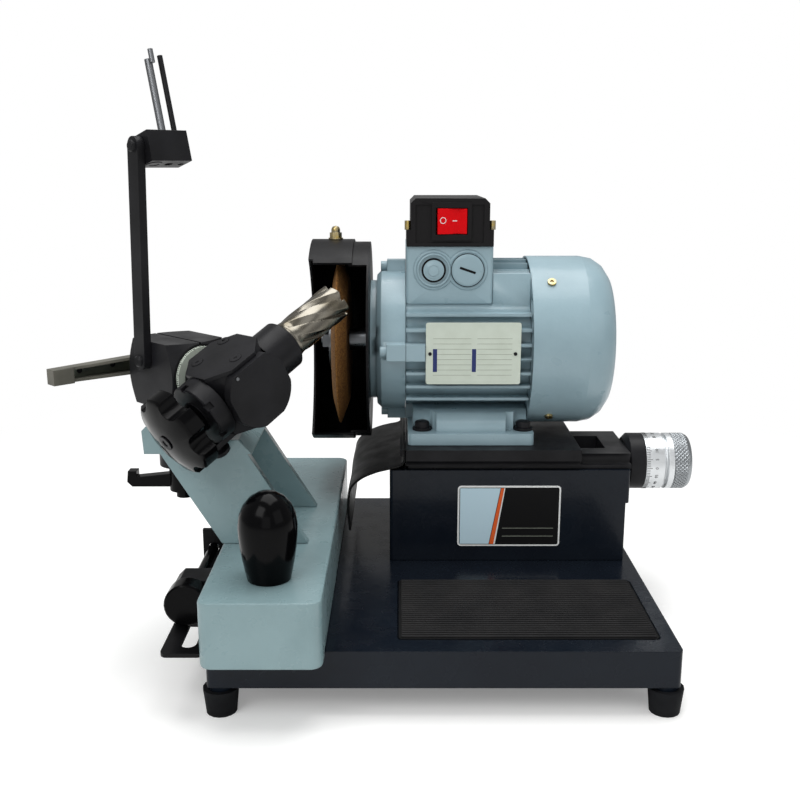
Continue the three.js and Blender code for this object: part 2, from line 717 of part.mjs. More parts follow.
// The foot is drawn in the machine's frame, with its saddle cut to the motor's core
function motorFootBody() {
  const f = motorFoot;
  const front = motor.axisY - f.width / 2;
  const rear = motor.axisY + f.width / 2;
  const plateTop = f.bottom + f.plate;
  const plate = prismZ(roundedRectangle(f.left, f.right, front, rear, f.corner), f.bottom, plateTop);
  const saddleTop = f.bottom + f.saddleTop;
  const raised = (x0, x1, setback) => box(x0, x1, front + setback, rear - setback, plateTop, saddleTop);
  const pads = raised(f.padLeft, f.padRight, f.padSetback);
  const web = raised(f.webLeft, f.webRight, f.webSetback);
  const halfLug = motor.lugSize / 2 + RUN;
  const lugBottom = motor.axisZ - motor.lugReach - RUN;
  let body = cut(
    join(plate, pads, web),
    move(discX(motor.coreRadius + GAP, f.left - CUT, f.right + CUT, FINE), 0, motor.axisY, motor.axisZ),
    move(discX(cowl.radius + RUN, motor.frameRight, f.right + CUT, FINE), 0, motor.axisY, motor.axisZ),
    box(f.left - CUT, motor.frameLeft + motor.lugLength + RUN, motor.axisY - halfLug, motor.axisY + halfLug,
      lugBottom, saddleTop + CUT),
  );
  for (const [x, y] of boltPlaces()) {
    body = cut(body, move(discZ(f.boltRoom, plateTop, saddleTop + CUT, COARSE), x, y, 0));
  }
  return body;
}

function hexagon(flats) {
  const points = [];
  for (let i = 0; i < 6; i += 1) {
    const angle = ((i + 0.5) / 6) * 2 * Math.PI;
    const reach = flats / 2 / Math.cos(Math.PI / 6);
    points.push([reach * Math.cos(angle), reach * Math.sin(angle)]);
  }
  return polygon(points);
}

function buildMotor(group) {
  const axis = new THREE.Group();
  axis.position.set(0, motor.axisY, motor.axisZ);
  group.add(axis);
  addPart(axis, 'motor_frame', motorFrame(), finish.motorPaint);
  addPart(axis, 'stator_core', statorRing(), finish.core);
  addPart(axis, 'front_end_shield', frontShield(), finish.motorPaint);
  addPart(axis, 'rear_end_shield', rearShieldBody(), finish.motorPaint);
  addPart(axis, 'front_bearing', bearing(bearingLeft), finish.steel);
  addPart(axis, 'rear_bearing', bearing(rearBearingLeft), finish.steel);
  addPart(axis, 'fan_cowl', fanCowl(), finish.motorPaint);
  addPart(axis, 'rotor_shaft', rotorBody(), finish.steel);
  addPart(axis, 'cooling_fan', coolingFan(), finish.blackPlastic);
  addPart(group, 'motor_foot', motorFootBody(), finish.motorPaint);
}

// Terminal box and switch

const shoulderSeat = motor.axisZ + motor.shoulderTop + GAP;

function terminalBox() {
  const t = terminal;
  const rear = t.front + t.depth;
  const body = cut(
    prismZ(roundedRectangle(t.left, t.right, t.front, rear, t.corner), shoulderSeat, t.top),
    move(discX(motor.coreRadius + GAP, t.left - CUT, t.right + CUT, FINE), 0, motor.axisY, motor.axisZ),
  );
  const face = (radius, x, from) => move(discY(radius, from, t.front + CUT), x, 0, t.glandZ);
  const boss = t.front - t.glandRise;
  return join(
    body,
    face(t.glandRadius, t.glandLeftX, boss + t.glandRise / 2),
    face(t.knockoutRadius, t.glandLeftX, boss),
    face(t.glandRadius, t.glandRightX, boss),
  );
}

function switchHousing() {
  const s = switchBox;
  const bottom = terminal.top + GAP;
  const rear = s.front + s.depth;
  const skirt = box(s.left, s.right, s.front, rear, bottom, s.skirtTop);
  const capLeft = s.left + s.inset;
  const capRight = s.right - s.inset;
  const cap = prismY(polygon([
    [bottom, capLeft], [s.top - s.chamfer, capLeft], [s.top, capLeft + s.chamfer],
    [s.top, capRight - s.chamfer], [s.top - s.chamfer, capRight], [bottom, capRight],
  ]), s.front, rear);
  const panelBack = s.front + s.panelRecess;
  const panel = box(s.panelLeft, s.panelRight, s.front - CUT, panelBack, s.panelBottom, s.panelTop);
  const frame = prismY(
    roundedRectangle(bezel.bottom, bezel.top, bezel.left, bezel.right, bezel.corner),
    panelBack - bezel.thickness,
    s.front + rocker.well / 2,
  );
  const halfWidth = rocker.width / 2 + rocker.play;
  const halfHeight = rocker.height / 2 + RUN;
  const wellFront = s.front - bezel.thickness - CUT;
  const well = box(rockerX - halfWidth, rockerX + halfWidth, wellFront, s.front + rocker.well,
    rockerZ - halfHeight, rockerZ + halfHeight);
  return cut(join(cut(join(skirt, cap), panel), frame), well);
}

const rockerX = (bezel.left + bezel.right) / 2;
const rockerZ = (bezel.bottom + bezel.top) / 2;

// The rocker turns about the upright pin through its origin and has two flat keys that meet at its middle
function rockerButton() {
  const half = rocker.width / 2;
  const profile = polygon([
    [-half, -rocker.bodyDepth / 2], [0, -rocker.bodyDepth / 2 + rocker.crown], [half, -rocker.bodyDepth / 2],
    [half, 0], [0, rocker.bodyDepth / 2], [-half, 0],
  ]);
  return prismZ(profile, -rocker.height / 2, rocker.height / 2);
}

function buildSwitch(group) {
  addPart(group, 'terminal_box', terminalBox(), finish.motorPaint);
  addPart(group, 'switch_housing', switchHousing(), finish.blackPlastic);
  const button = addPart(group, 'rocker_button', rockerButton(), finish.red);
  button.position.set(rockerX, switchBox.front + rocker.sink, rockerZ);
  button.rotation.z = radians(rocker.tilt);
}

// Wheel and guard, drawn about the motor axis

const wheelRight = wheel.left + wheel.width;
const guardRight = flangeLeft - GAP;
const coverRadius = guard.backRadius + GAP + guard.wall;

function grindingWheel() {
  const w = wheel;
  return turnedX([
    [w.bore, w.left], [w.radius - w.leftDepth, w.left], [w.radius, w.left + w.leftBevel],
    [w.radius, wheelRight - w.rightBevel], [w.radius - w.rightDepth, wheelRight], [w.bore, wheelRight],
  ]);
}

function wheelFlange() {
  const bore = rotor.driveRadius + GAP;
  const right = wheel.left - GAP;
  const left = right - wheel.flangeWidth;
  return turnedX([
    [bore, left], [wheel.flangeRadius, left], [wheel.flangeRadius, right],
    [wheel.bore - GAP, right], [wheel.bore - GAP, wheelRight - GAP], [bore, wheelRight - GAP],
  ], MEDIUM);
}

function wheelNut() {
  const right = wheel.left - GAP - wheel.flangeWidth - GAP;
  return cut(
    prismX(hexagon(wheel.nutFlats), right - wheel.nutHeight, right),
    discX(rotor.driveRadius + GAP, right - wheel.nutHeight - CUT, right + CUT, COARSE),
  );
}

function wheelSpacer() {
  return ringX(rotor.driveRadius + GAP, wheel.spacerRadius, wheelRight + GAP, flangeLeft - GAP, MEDIUM);
}

// The mouth is the wedge at the front that both bands leave open
function mouthWedge(x0, x1) {
  const reach = 2 * coverRadius;
  const top = radians(180 - guard.gapTop);
  const bottom = radians(180 + guard.gapBottom);
  const wedge = polygon([
    [0, 0], [reach * Math.cos(top), reach * Math.sin(top)], [-reach, reach * Math.sin(top)],
    [-reach, reach * Math.sin(bottom)], [reach * Math.cos(bottom), reach * Math.sin(bottom)],
  ]);
  return prismX(wedge, x0, x1);
}

function guardBack() {
  const { backLeft, backRadius, wall } = guard;
  const band = cut(
    ringX(backRadius - wall, backRadius, backLeft, guardRight - wall / 2, FINE),
    mouthWedge(backLeft - CUT, guardRight - wall),
  );
  return join(band, ringX(guard.shaftHole, backRadius, guardRight - wall, guardRight, FINE));
}

function guardCover() {
  const { left, coverRight, wall } = guard;
  const inner = coverRadius - wall;
  const ring = ringX(inner, coverRadius, left + wall / 2, coverRight, FINE);
  const band = cut(ring, mouthWedge(left + wall, coverRight + CUT));
  const plate = discX(coverRadius, left, left + wall, FINE);
  const notch = discX(guard.notchRadius, left - CUT, left + wall + CUT, FINE);
  return cut(join(band, plate), move(notch, 0, -guard.notchCentre, 0));
}

function buildWheel(group) {
  const axis = new THREE.Group();
  axis.position.set(0, motor.axisY, motor.axisZ);
  group.add(axis);
  addPart(axis, 'grinding_wheel', grindingWheel(), finish.wheelBond);
  addPart(axis, 'wheel_flange', wheelFlange(), finish.steel);
  addPart(axis, 'wheel_nut', wheelNut(), finish.steel);
  addPart(axis, 'wheel_spacer', wheelSpacer(), finish.steel);
  addPart(axis, 'guard_back', guardBack(), finish.blackOxide);
  addPart(axis, 'guard_cover', guardCover(), finish.blackOxide);
}

// Rubber cover, a sheet that hangs from the slide over the side of the arm

const clampLeft = table.left - GAP - rubber.thickness - GAP - rubber.clampThickness;
const sheetTop = table.top - GAP;

function coverCentreLine() {
  const x = table.left - GAP - rubber.thickness / 2;
  const { reach, drop, bendTop, reachShares, dropShares } = rubber;
  const bend = reachShares.map((share, i) => (
    new THREE.Vector3(x - share * reach, 0, bendTop - dropShares[i] * drop)
  ));
  return new THREE.CatmullRomCurve3([new THREE.Vector3(x, 0, sheetTop), ...bend], false, 'centripetal');
}

function dustCover() {
  const line = coverCentreLine();
  const steps = 6 * CORNER_STEPS;
  const left = [];
  const right = [];
  for (let i = 0; i <= steps; i += 1) {
    const point = line.getPointAt(i / steps);
    const along = line.getTangentAt(i / steps);
    const side = new THREE.Vector3(along.z, 0, -along.x).multiplyScalar(rubber.thickness / 2);
    left.push([point.z + side.z, Math.min(point.x + side.x, table.left - GAP)]);
    right.unshift([point.z - side.z, Math.min(point.x - side.x, table.left - GAP)]);
  }
  return prismY(polygon([...left, ...right]), rubber.front, rubber.rear);
}

function coverClamp() {
  const right = table.left - GAP - rubber.thickness - GAP;
  return box(clampLeft, right, rubber.front, rubber.rear, tableUnderside + GAP, sheetTop);
}

function buildCover(group) {
  addPart(group, 'dust_cover', dustCover(), finish.rubber);
  addPart(group, 'cover_clamp', coverClamp(), finish.blackOxide);
}

// Swing arm, whose front hangs down over the edge of the base, and its handle

const pinTop = arm.bottom + arm.pinHeight;

function swingArm() {
  const { left, right, front, rear, corner, edge, bottom, top } = arm;
  const low = bottom - arm.skirtDrop;
  const shape = roundedRectangle(left + edge, right - edge, front + edge, rear - edge, corner - edge);
  const geometry = new THREE.ExtrudeGeometry(shape, {
    depth: top - low - 2 * edge, bevelSize: edge, bevelThickness: edge, bevelSegments: 2,
    curveSegments: CORNER_STEPS,
  });
  const bore = discZ(arm.pinRadius + RUN, bottom - CUT, top - arm.capRoof);
  const studHole = discZ(handle.studRadius + GAP, top - handle.studDepth - GAP, top + CUT, COARSE);
  return cut(
    solid(geometry.translate(0, 0, low + edge)),
    box(left - CUT, right + CUT, arm.skirtRear, rear + CUT, low - CUT, bottom),
    move(bore, arm.pivotX, arm.pivotY, 0),
    move(studHole, handle.x, handle.y, 0),
  );
}

// The pin has a collar that the arm rests on
function pivotPin() {
  const bottom = base.top - arm.pinDepth + GAP;
  const collarBottom = base.top + GAP;
  const collarTop = arm.bottom - GAP;
  return turned([
    [0, bottom], [arm.pinRadius, bottom], [arm.pinRadius, collarBottom], [arm.washerRadius, collarBottom],
    [arm.washerRadius, collarTop], [arm.pinRadius, collarTop], [arm.pinRadius, pinTop], [0, pinTop],
  ], MEDIUM);
}

function handleKnob() {
  const bottom = arm.top + GAP;
  const belly = handle.height * handle.bellyShare;
  const crown = handle.height - belly;
  const studEnd = arm.top - handle.studDepth;
  const profile = [[0, studEnd], [handle.studRadius, studEnd], [handle.studRadius, bottom]];
  const steps = CORNER_STEPS + 1;
  const swell = handle.bellyRadius - handle.baseRadius;
  for (let i = 0; i <= steps; i += 1) {
    const share = i / steps;
    profile.push([handle.baseRadius + swell * Math.sin((share * Math.PI) / 2), bottom + belly * share]);
  }
  for (let i = 1; i <= steps; i += 1) {
    const angle = (i / steps) * (Math.PI / 2);
    const radius = i === steps ? 0 : handle.bellyRadius * Math.cos(angle);
    profile.push([radius, bottom + belly + crown * Math.sin(angle)]);
  }
  return turned(profile, MEDIUM);
}

// The column is one casting with a plate at the front and rear, joined by a leaning web and a cap
function columnOutline(offset, width, bottom, top) {
  const shift = (z) => -(z - arm.top) * column.lean;
  const left = column.bottomLeft + offset;
  return polygon([
    [bottom, left + shift(bottom)], [bottom, left + width + shift(bottom)],
    [top, left + width + shift(top)], [top, left + shift(top)],
  ]);
}

const columnBottom = arm.top + GAP;
const columnWidth = column.bottomRight - column.bottomLeft;
const capBottom = column.top - column.capThickness;
const columnRightTop = column.bottomRight - (column.top - column.capStepDrop - arm.top) * column.lean;

function workColumn() {
  const stepZ = column.top - column.capStepDrop;
  const outline = columnOutline(0, columnWidth, columnBottom, capBottom + CUT);
  const shaft = prismY(outline, column.front, column.rear);
  const cap = prismY(polygon([
    [capBottom, column.capLeft + column.capDraft], [capBottom, columnRightTop + column.capStepDrop],
    [stepZ, columnRightTop], [stepZ, column.capStep + column.capStepDrop],
    [column.top, column.capStep], [column.top, column.capLeft + column.capCorner],
    [column.top - column.capCorner, column.capLeft],
  ]), column.front, column.rear);
  const from = column.front + column.plate;
  const to = column.rear - column.plate;
  const rightStart = column.leftRecess + column.web;
  const low = columnBottom - CUT;
  const recess = (offset, width) => prismY(columnOutline(offset, width, low, capBottom), from, to);
  const postHole = move(discZ(head.postRadius + RUN, capBottom - CUT, column.top + CUT), head.x, head.y, 0);
  return cut(
    join(shaft, cap),
    recess(-column.leftRecess, 2 * column.leftRecess),
    recess(rightStart, columnWidth),
    postHole,
  );
}

function buildArm(group) {
  addPart(group, 'pivot_pin', pivotPin(), finish.steel).position.set(arm.pivotX, arm.pivotY, 0);
  addPart(group, 'swing_arm', swingArm(), finish.castPaint);
  addPart(group, 'work_column', workColumn(), finish.castPaint);
  addPart(group, 'arm_handle', handleKnob(), finish.blackPlastic).position.set(handle.x, handle.y, 0);
}

// Swing stop, reaching out from the base's side or the arm's, whichever stands further out
const stopSide = Math.min(-halfLength, arm.left);
const rodX = stopSide - stop.rodReach;
const slotX = stopSide - stop.slotReach;


function stopBracket() {
  const s = stop;
  const right = -halfLength - GAP;
  const bottom = s.plateTop - s.plate;
  const uprightRear = s.rear - s.corner;
  const uprightFront = uprightRear - s.uprightThickness;
  const rodHole = discY(s.rodRadius + RUN, uprightFront - CUT, uprightRear + CUT, COARSE);
  const deck = cut(
    prismZ(roundedRectangle(stopSide - s.reach, right, s.front, s.rear, s.corner), bottom, s.plateTop),
    prismZ(slotShape(slotX - s.slotWidth / 2, slotX + s.slotWidth / 2, s.slotFront, s.slotRear),
      bottom - CUT, s.plateTop + CUT),
  );
  return join(
    deck,
    box(right - s.flangeThickness, right, s.flangeFront, s.flangeRear, bottom - s.flangeDrop,
      bottom + s.plate / 2),
    cut(box(stopSide - s.uprightReach, right, uprightFront, uprightRear, bottom, s.uprightTop),
      move(rodHole, rodX, 0, s.rodZ)),
  );
}

function stopBlock() {
  const s = stop;
  const bottom = s.plateTop + GAP;
  const left = stopSide - s.blockReach;
  const right = stopSide - s.blockClearance;
  const outline = polygon([
    [bottom, left], [s.blockTop - s.blockChamfer, left], [s.blockTop, left + s.blockChamfer],
    [s.blockTop, right], [bottom, right],
  ]);
  const rear = s.blockFront + s.blockLength;
  const tongue = s.slotWidth / 2 - GAP;
  return cut(
    join(prismY(outline, s.blockFront, rear), box(slotX - tongue, slotX + tongue, s.blockFront, rear,
      s.plateTop - s.plate + GAP, s.plateTop + CUT)),
    move(discY(s.rodRadius + GAP, s.blockFront - CUT, rear + CUT, COARSE), rodX, 0, s.rodZ),
  );
}

function stopKnob() {
  const s = stop;
  const back = s.blockFront - GAP;
  const front = back - s.knobLength;
  return turnedY([
    [0, front], [s.knobRadius - s.knobEdge, front], [s.knobRadius, front + s.knobEdge], [s.knobRadius, back],
    [s.rodRadius, back], [s.rodRadius, s.rodRear], [0, s.rodRear],
  ], MEDIUM);
}

function buildStop(group) {
  addPart(group, 'stop_bracket', stopBracket(), finish.blackOxide);
  addPart(group, 'stop_block', stopBlock(), finish.blackOxide);
  addPart(group, 'stop_screw', stopKnob(), finish.blackPlastic).position.set(rodX, 0, stop.rodZ);
}

// Work head. Its own X runs along the tilt axis, its own Z is up.

function splitBlock() {
  const h = head;
  const cone = turnedX([
    [0, -h.halfLength], [h.faceRadius, -h.halfLength], [h.half * Math.SQRT2, -h.halfLength + h.chamfer],
    [h.half * Math.SQRT2, h.halfLength - h.chamfer], [h.faceRadius, h.halfLength], [0, h.halfLength],
  ]);
  const block = common(box(-h.halfLength, h.halfLength, -h.half, h.half, -h.half, h.half), cone);
  const pinHole = discY(gauge.pinRadius + RUN, -h.half - CUT, -h.half + gauge.pinReach + GAP, COARSE);
  return cut(
    block,
    discX(h.boreRadius + RUN, -h.halfLength + h.slitDepth, h.halfLength + CUT),
    discX(tilt.boltRadius + RUN, -h.halfLength - CUT, h.halfLength, COARSE),
    box(-h.halfLength - CUT, h.halfLength + CUT, -h.slit / 2, h.slit / 2, h.boreRadius - CUT, h.half + CUT),
    discZ(h.postRadius + GAP, -h.half - CUT, -h.half + h.postSocket, MEDIUM),
    move(pinHole, gauge.pivotX, 0, gauge.pivotZ),
  );
}

// The post is drawn from the tilt axis downwards
function swivelPost() {
  const h = head;
  const blockBottom = -h.half;
  const capTop = column.top - h.tiltZ;
  const stemTop = smallLever.hubTop + GAP - h.tiltZ;
  const bottom = smallLever.hubBottom + smallLever.floor + GAP - h.tiltZ;
  return turned([
    [0, blockBottom + h.postSocket - GAP], [h.postRadius, blockBottom + h.postSocket - GAP],
    [h.postRadius, blockBottom - GAP], [h.flangeRadius, blockBottom - GAP], [h.flangeRadius, capTop + GAP],
    [h.postRadius, capTop + GAP], [h.postRadius, stemTop], [smallLever.stemRadius, stemTop],
    [smallLever.stemRadius, bottom], [0, bottom],
  ], MEDIUM);
}

function postWasher() {
  const top = capBottom - head.tiltZ - GAP;
  const bottom = smallLever.hubTop - head.tiltZ + GAP;
  const bore = head.postRadius + GAP;
  const rim = head.underWasherRadius;
  return turned([[bore, bottom], [rim, bottom], [rim, top], [bore, top]], MEDIUM);
}

function smallClampLever() {
  const s = smallLever;
  const top = s.hubTop - head.tiltZ;
  const bottom = s.hubBottom - head.tiltZ;
  const armZ = s.armZ - head.tiltZ;
  const tipZ = armZ + s.tipHeight;
  const hookZ = tipZ + s.hookRise;
  const blade = prismY(polygon([
    [armZ, 0], [armZ, -s.length + s.tipHeight / 2], [armZ + s.tipHeight / 2, -s.length],
    [hookZ, -s.length + s.hookDraft], [hookZ, -s.length + s.hookLength],
    [tipZ, -s.length + s.hookLength], [armZ + s.rootHeight, 0],
  ]), -s.width / 2, s.width / 2);
  const hub = discZ(s.hubRadius, bottom, top);
  const foot = discZ(s.screwRadius, s.screwBottom - head.tiltZ, bottom + CUT, COARSE);
  return cut(join(hub, foot, blade), discZ(s.stemRadius + RUN, bottom + s.floor, top + CUT, COARSE));
}

function gradDial() {
  const left = head.halfLength + GAP;
  return ringX(head.boreRadius + GAP, dial.radius, left, left + dial.thickness, FINE);
}

// The arm carries a screwed pin at each end
function gaugeArm() {
  const g = gauge;
  const half = g.armWidth / 2;
  const back = -head.half - GAP;
  const outline = new THREE.Shape();
  outline.absarc(0, 0, half, Math.PI / 2, (3 * Math.PI) / 2, false);
  outline.absarc(g.armLength, 0, half, -Math.PI / 2, Math.PI / 2, false);
  outline.closePath();
  return join(
    prismY(outline, back - g.armThickness, back),
    gaugeScrew(back - g.armThickness),
    move(gaugeScrew(back - g.armThickness), 0, 0, g.armLength),
  );
}

function gaugeScrew(seat) {
  const g = gauge;
  const end = -head.half + g.pinReach;
  const face = seat - g.screwHeight;
  return turnedY([
    [0, face], [g.screwRadius - g.screwHeight / 2, face], [g.screwRadius, face + g.screwHeight / 2],
    [g.screwRadius, seat + CUT], [g.pinRadius, seat + CUT], [g.pinRadius, end], [0, end],
  ], COARSE);
}

// The block turns on the arm's upper pin and carries both rods
function gaugeBlock() {
  const g = gauge;
  const front = -head.half;
  const bore = (radius) => discZ(radius + GAP, g.blockBottom - CUT, g.blockTop + CUT, COARSE);
  return cut(
    box(g.blockLeft, g.blockRight, front, front + g.blockLength, g.blockBottom, g.blockTop),
    discY(g.pinRadius + RUN, front - CUT, front + g.pinReach + GAP, COARSE),
    move(bore(g.silverRadius), g.rodX, front + g.silverRodY, 0),
    move(bore(g.darkRadius), g.rodX, front + g.darkRodY, 0),
  );
}

function silverRod() {
  const g = gauge;
  const top = g.blockTop + g.silverReach;
  const half = g.silverRadius / 2;
  const low = top - 2 * g.fingerRadius;
  return join(
    discZ(g.silverRadius, g.blockTop - g.rodTail, top, COARSE),
    box(-half, g.fingerOffset, -half, half, low, top - g.fingerRadius),
    move(discZ(g.fingerRadius, low, top + g.fingerRise, COARSE), g.fingerOffset, 0, 0),
  );
}

function darkRod() {
  return discZ(gauge.darkRadius, gauge.blockTop - gauge.rodTail, gauge.blockTop + gauge.darkReach, COARSE);
}

function buildGauge(headGroup) {
  const g = gauge;
  const swing = new THREE.Group();
  swing.position.set(g.pivotX, 0, g.pivotZ);
  swing.rotation.y = radians(g.leanAngle);
  headGroup.add(swing);
  addPart(swing, 'gauge_arm', gaugeArm(), finish.blackOxide);
  const top = new THREE.Group();
  top.position.set(0, 0, g.armLength);
  top.rotation.y = radians(-g.leanAngle - g.blockTilt);
  swing.add(top);
  addPart(top, 'gauge_block', gaugeBlock(), finish.blackOxide);
  const silver = addPart(top, 'gauge_rod_silver', silverRod(), finish.steel);
  silver.position.set(g.rodX, g.silverRodY - head.half, 0);
  const dark = addPart(top, 'gauge_rod_dark', darkRod(), finish.core);
  dark.position.set(g.rodX, g.darkRodY - head.half, 0);
}

// The lever sits on a draw bolt along the tilt axis, and its arm points along its own -Y
function bigClampLever() {
  const b = bigLever;
  const right = -head.halfLength - GAP;
  const left = right - b.hubLength;
  const back = left + b.wall;
  const channelRight = left + b.channel;
  const taper = (y) => (b.rootHeight + (b.tipHeight - b.rootHeight) * (y / b.length)) / 2;
  const plan = (inset) => polygon([
    [0, -taper(0) + inset], [-b.length + inset, -taper(b.length) + inset],
    [-b.length + inset, taper(b.length) - inset], [0, taper(0) - inset],
  ]);
  const padRear = -b.length + b.tipPad;
  const halfTip = b.tipHeight / 2;
  const body = join(
    discX(b.hubRadius, left, right),
    prismX(plan(0), left, channelRight),
    box(left, back + b.tipThickness, -b.length, padRear, -halfTip - b.wall / 2, halfTip),
  );
  const hollow = cut(
    prismX(plan(b.wall), back, channelRight + CUT),
    discX(b.hubRadius, left, right + CUT),
    box(left, right + CUT, -b.length - CUT, padRear, -b.rootHeight, b.rootHeight),
  );
  return cut(body, hollow, discX(b.boltRadius + GAP, back, right + CUT, COARSE));
}

// Housing parts are drawn with X along the tilt axis, Y along the spindle and Z square to both

function octagon(half, reachLeft, reachRight, corner) {
  return polygon([
    [-reachLeft, -half + corner], [-reachLeft + corner, -half], [reachRight - corner, -half],
    [reachRight, -half + corner], [reachRight, half - corner], [reachRight - corner, half],
    [-reachLeft + corner, half], [-reachLeft, half - corner],
  ]);
}

function spindleHousing() {
  const t = tilt;
  const top = t.half - t.plate - GAP;
  const prism = prismZ(octagon(t.half, t.rearReach, t.frontReach, t.chamfer), -t.half, top);
  const nose = common(
    discX(t.noseRadius, t.frontReach - CUT, t.frontReach + t.nose, FINE),
    box(0, t.frontReach + t.nose, -t.half, t.half, -t.half, top),
  );
  const p = plunger;
  const lugBody = cut(
    box(-p.lugHalf, p.lugHalf, p.lugFront, p.lugRear, p.lugBottom, p.lugTop),
    move(discZ(p.bore, p.lugBottom - CUT, p.lugTop + CUT, COARSE), 0, p.along, 0),
  );
  const blockEnd = -t.offset - head.halfLength;
  const boltEnd = blockEnd - GAP - bigLever.hubLength + bigLever.wall + GAP;
  const spigot = discX(head.boreRadius, blockEnd + head.slitDepth + GAP, -t.rearReach + CUT);
  const bolt = discX(t.boltRadius, boltEnd, -t.offset, COARSE);
  const bore = discY(t.spindleBore, -t.half - CUT, t.half + CUT, FINE);
  return cut(join(prism, nose, spigot, bolt, lugBody), bore);
}

function coverPlate() {
  const t = tilt;
  const inset = t.plateInset;
  return prismZ(
    octagon(t.half + inset, t.rearReach + inset, t.frontReach + inset, t.chamfer),
    t.half - t.plate,
    t.half,
  );
}

function spindleBody() {
  const s = spindle;
  const seat = s.toolSeat - GAP;
  const hub = indexDisc.front - GAP;
  const tubeStart = indexDisc.rear + GAP;
  return turnedY([
    [0, hub], [s.collar, hub], [s.collar, tubeStart], [s.tubeRadius, tubeStart],
    [s.tubeRadius, s.sleeveStart], [s.sleeveRadius, s.sleeveStart],
    [s.sleeveRadius, s.sleeveEnd - s.sleeveEdge], [s.sleeveRadius - s.sleeveEdge, s.sleeveEnd],
    [s.toolBore, s.sleeveEnd], [s.toolBore, seat], [0, seat],
  ]);
}

function indexPlate() {
  const d = indexDisc;
  let body = turnedY([
    [spindle.collar + GAP, d.front], [d.radius - d.edge, d.front], [d.radius, d.front + d.edge],
    [d.radius, d.rear], [spindle.collar + GAP, d.rear],
  ]);
  for (let i = 0; i < d.notches; i += 1) {
    const notch = box(-d.notchWidth / 2, d.notchWidth / 2, d.front - CUT, d.front + d.notchWidth,
      d.radius - d.notchDepth, d.radius + CUT);
    body = cut(body, notch.rotate([0, (360 / d.notches) * i, 0]));
  }
  return body;
}

function starKnobBody() {
  const k = starKnob;
  const back = k.back;
  const domeFront = k.front - k.dome;
  const hubEnd = indexDisc.front - 2 * GAP;
  let body = turnedY([
    [0, domeFront], [k.radius / 2, domeFront + k.dome / 4], [k.radius - k.dome / 2, k.front],
    [k.radius, k.front + k.dome / 2], [k.radius, back], [k.hubRadius, back], [k.hubRadius, hubEnd],
    [0, hubEnd],
  ]);
  const reach = k.radius + k.scallop - 2 * k.scallopInset;
  for (let i = 0; i < k.lobes; i += 1) {
    const angle = ((i + 0.5) / k.lobes) * 360;
    const scallop = move(discY(k.scallop, domeFront - CUT, back + CUT, COARSE), 0, 0, reach);
    body = cut(body, scallop.rotate([0, angle, 0]));
  }
  return body;
}

function indexPlunger() {
  const p = plunger;
  const pin = p.bore - GAP;
  return move(turned([
    [0, p.bottom], [p.knobRadius - p.knobEdge, p.bottom], [p.knobRadius, p.bottom + p.knobEdge],
    [p.knobRadius, p.knobTop], [pin, p.knobTop],
    [pin, p.lugTop], [p.tip, p.lugTop + p.tip], [p.tip, p.top], [0, p.top],
  ], COARSE), 0, p.along, -p.drawn);
}

// The fluted shell is a skin through rings of points: shank, shoulder, twisted flutes, teeth and bore
function cutterGeometry() {
  const k = cutter;
  const ring = (radiusAt, heightAt) => {
    const points = [];
    for (let i = 0; i < k.around; i += 1) {
      const angle = (i / k.around) * 2 * Math.PI;
      const radius = radiusAt(angle);
      points.push(new THREE.Vector3(radius * Math.cos(angle), heightAt(angle), radius * Math.sin(angle)));
    }
    return points;
  };
  const start = spindle.toolSeat;
  const shoulder = spindle.sleeveEnd + GAP;
  const fluteStart = shoulder + k.neck;
  const phase = (angle, y) => {
    const turns = (angle / (2 * Math.PI) + (y - fluteStart) / k.helixLead) * k.flutes;
    return turns - Math.floor(turns);
  };
  const land = (angle, y) => {
    const share = phase(angle, y) / k.gulletShare;
    return share < 1 ? k.radius - k.fluteDepth * Math.sin(share * Math.PI) : k.radius;
  };
  const tooth = (angle) => {
    const share = phase(angle, k.tip);
    const drop = share < k.gulletShare ? 1 - share / k.gulletShare : (share - k.gulletShare) / 3;
    return k.tip - k.gullet * drop;
  };
  const rings = [
    ring(() => k.shankRadius, () => start), ring(() => k.shankRadius, () => shoulder),
    ring(() => k.radius - k.fluteDepth / 2, () => shoulder),
    ring(() => k.radius, () => shoulder + k.fluteDepth),
  ];
  for (let i = 0; i < k.steps; i += 1) {
    const y = fluteStart + ((k.tip - k.gullet - fluteStart) * i) / (k.steps - 1);
    const deep = Math.min(1, i / 2);
    rings.push(ring((angle) => k.radius + (land(angle, y) - k.radius) * deep, () => y));
  }
  rings.push(ring((angle) => land(angle, k.tip), tooth));
  rings.push(ring(() => k.bore, (angle) => tooth(angle) - k.gullet / 3));
  rings.push(ring(() => k.bore, () => k.tip - k.boreDepth));
  return skin(rings);
}

function skin(rings) {
  const count = rings[0].length;
  const last = rings.length - 1;
  const middle = (ring) => {
    const total = ring.reduce((sum, point) => sum.add(point), new THREE.Vector3());
    return total.divideScalar(count);
  };
  const points = [...rings.flat(), middle(rings[0]), middle(rings[last])];
  const first = rings.length * count;
  const index = [];
  for (let i = 0; i < count; i += 1) {
    const next = (i + 1) % count;
    index.push(first, next, i, first + 1, last * count + i, last * count + next);
    for (let r = 0; r < last; r += 1) {
      const a = r * count + i;
      const b = r * count + next;
      index.push(a, b, a + count, b, b + count, a + count);
    }
  }
  const geometry = new THREE.BufferGeometry().setFromPoints(points);
  geometry.setIndex(index);
  return geometry;
}

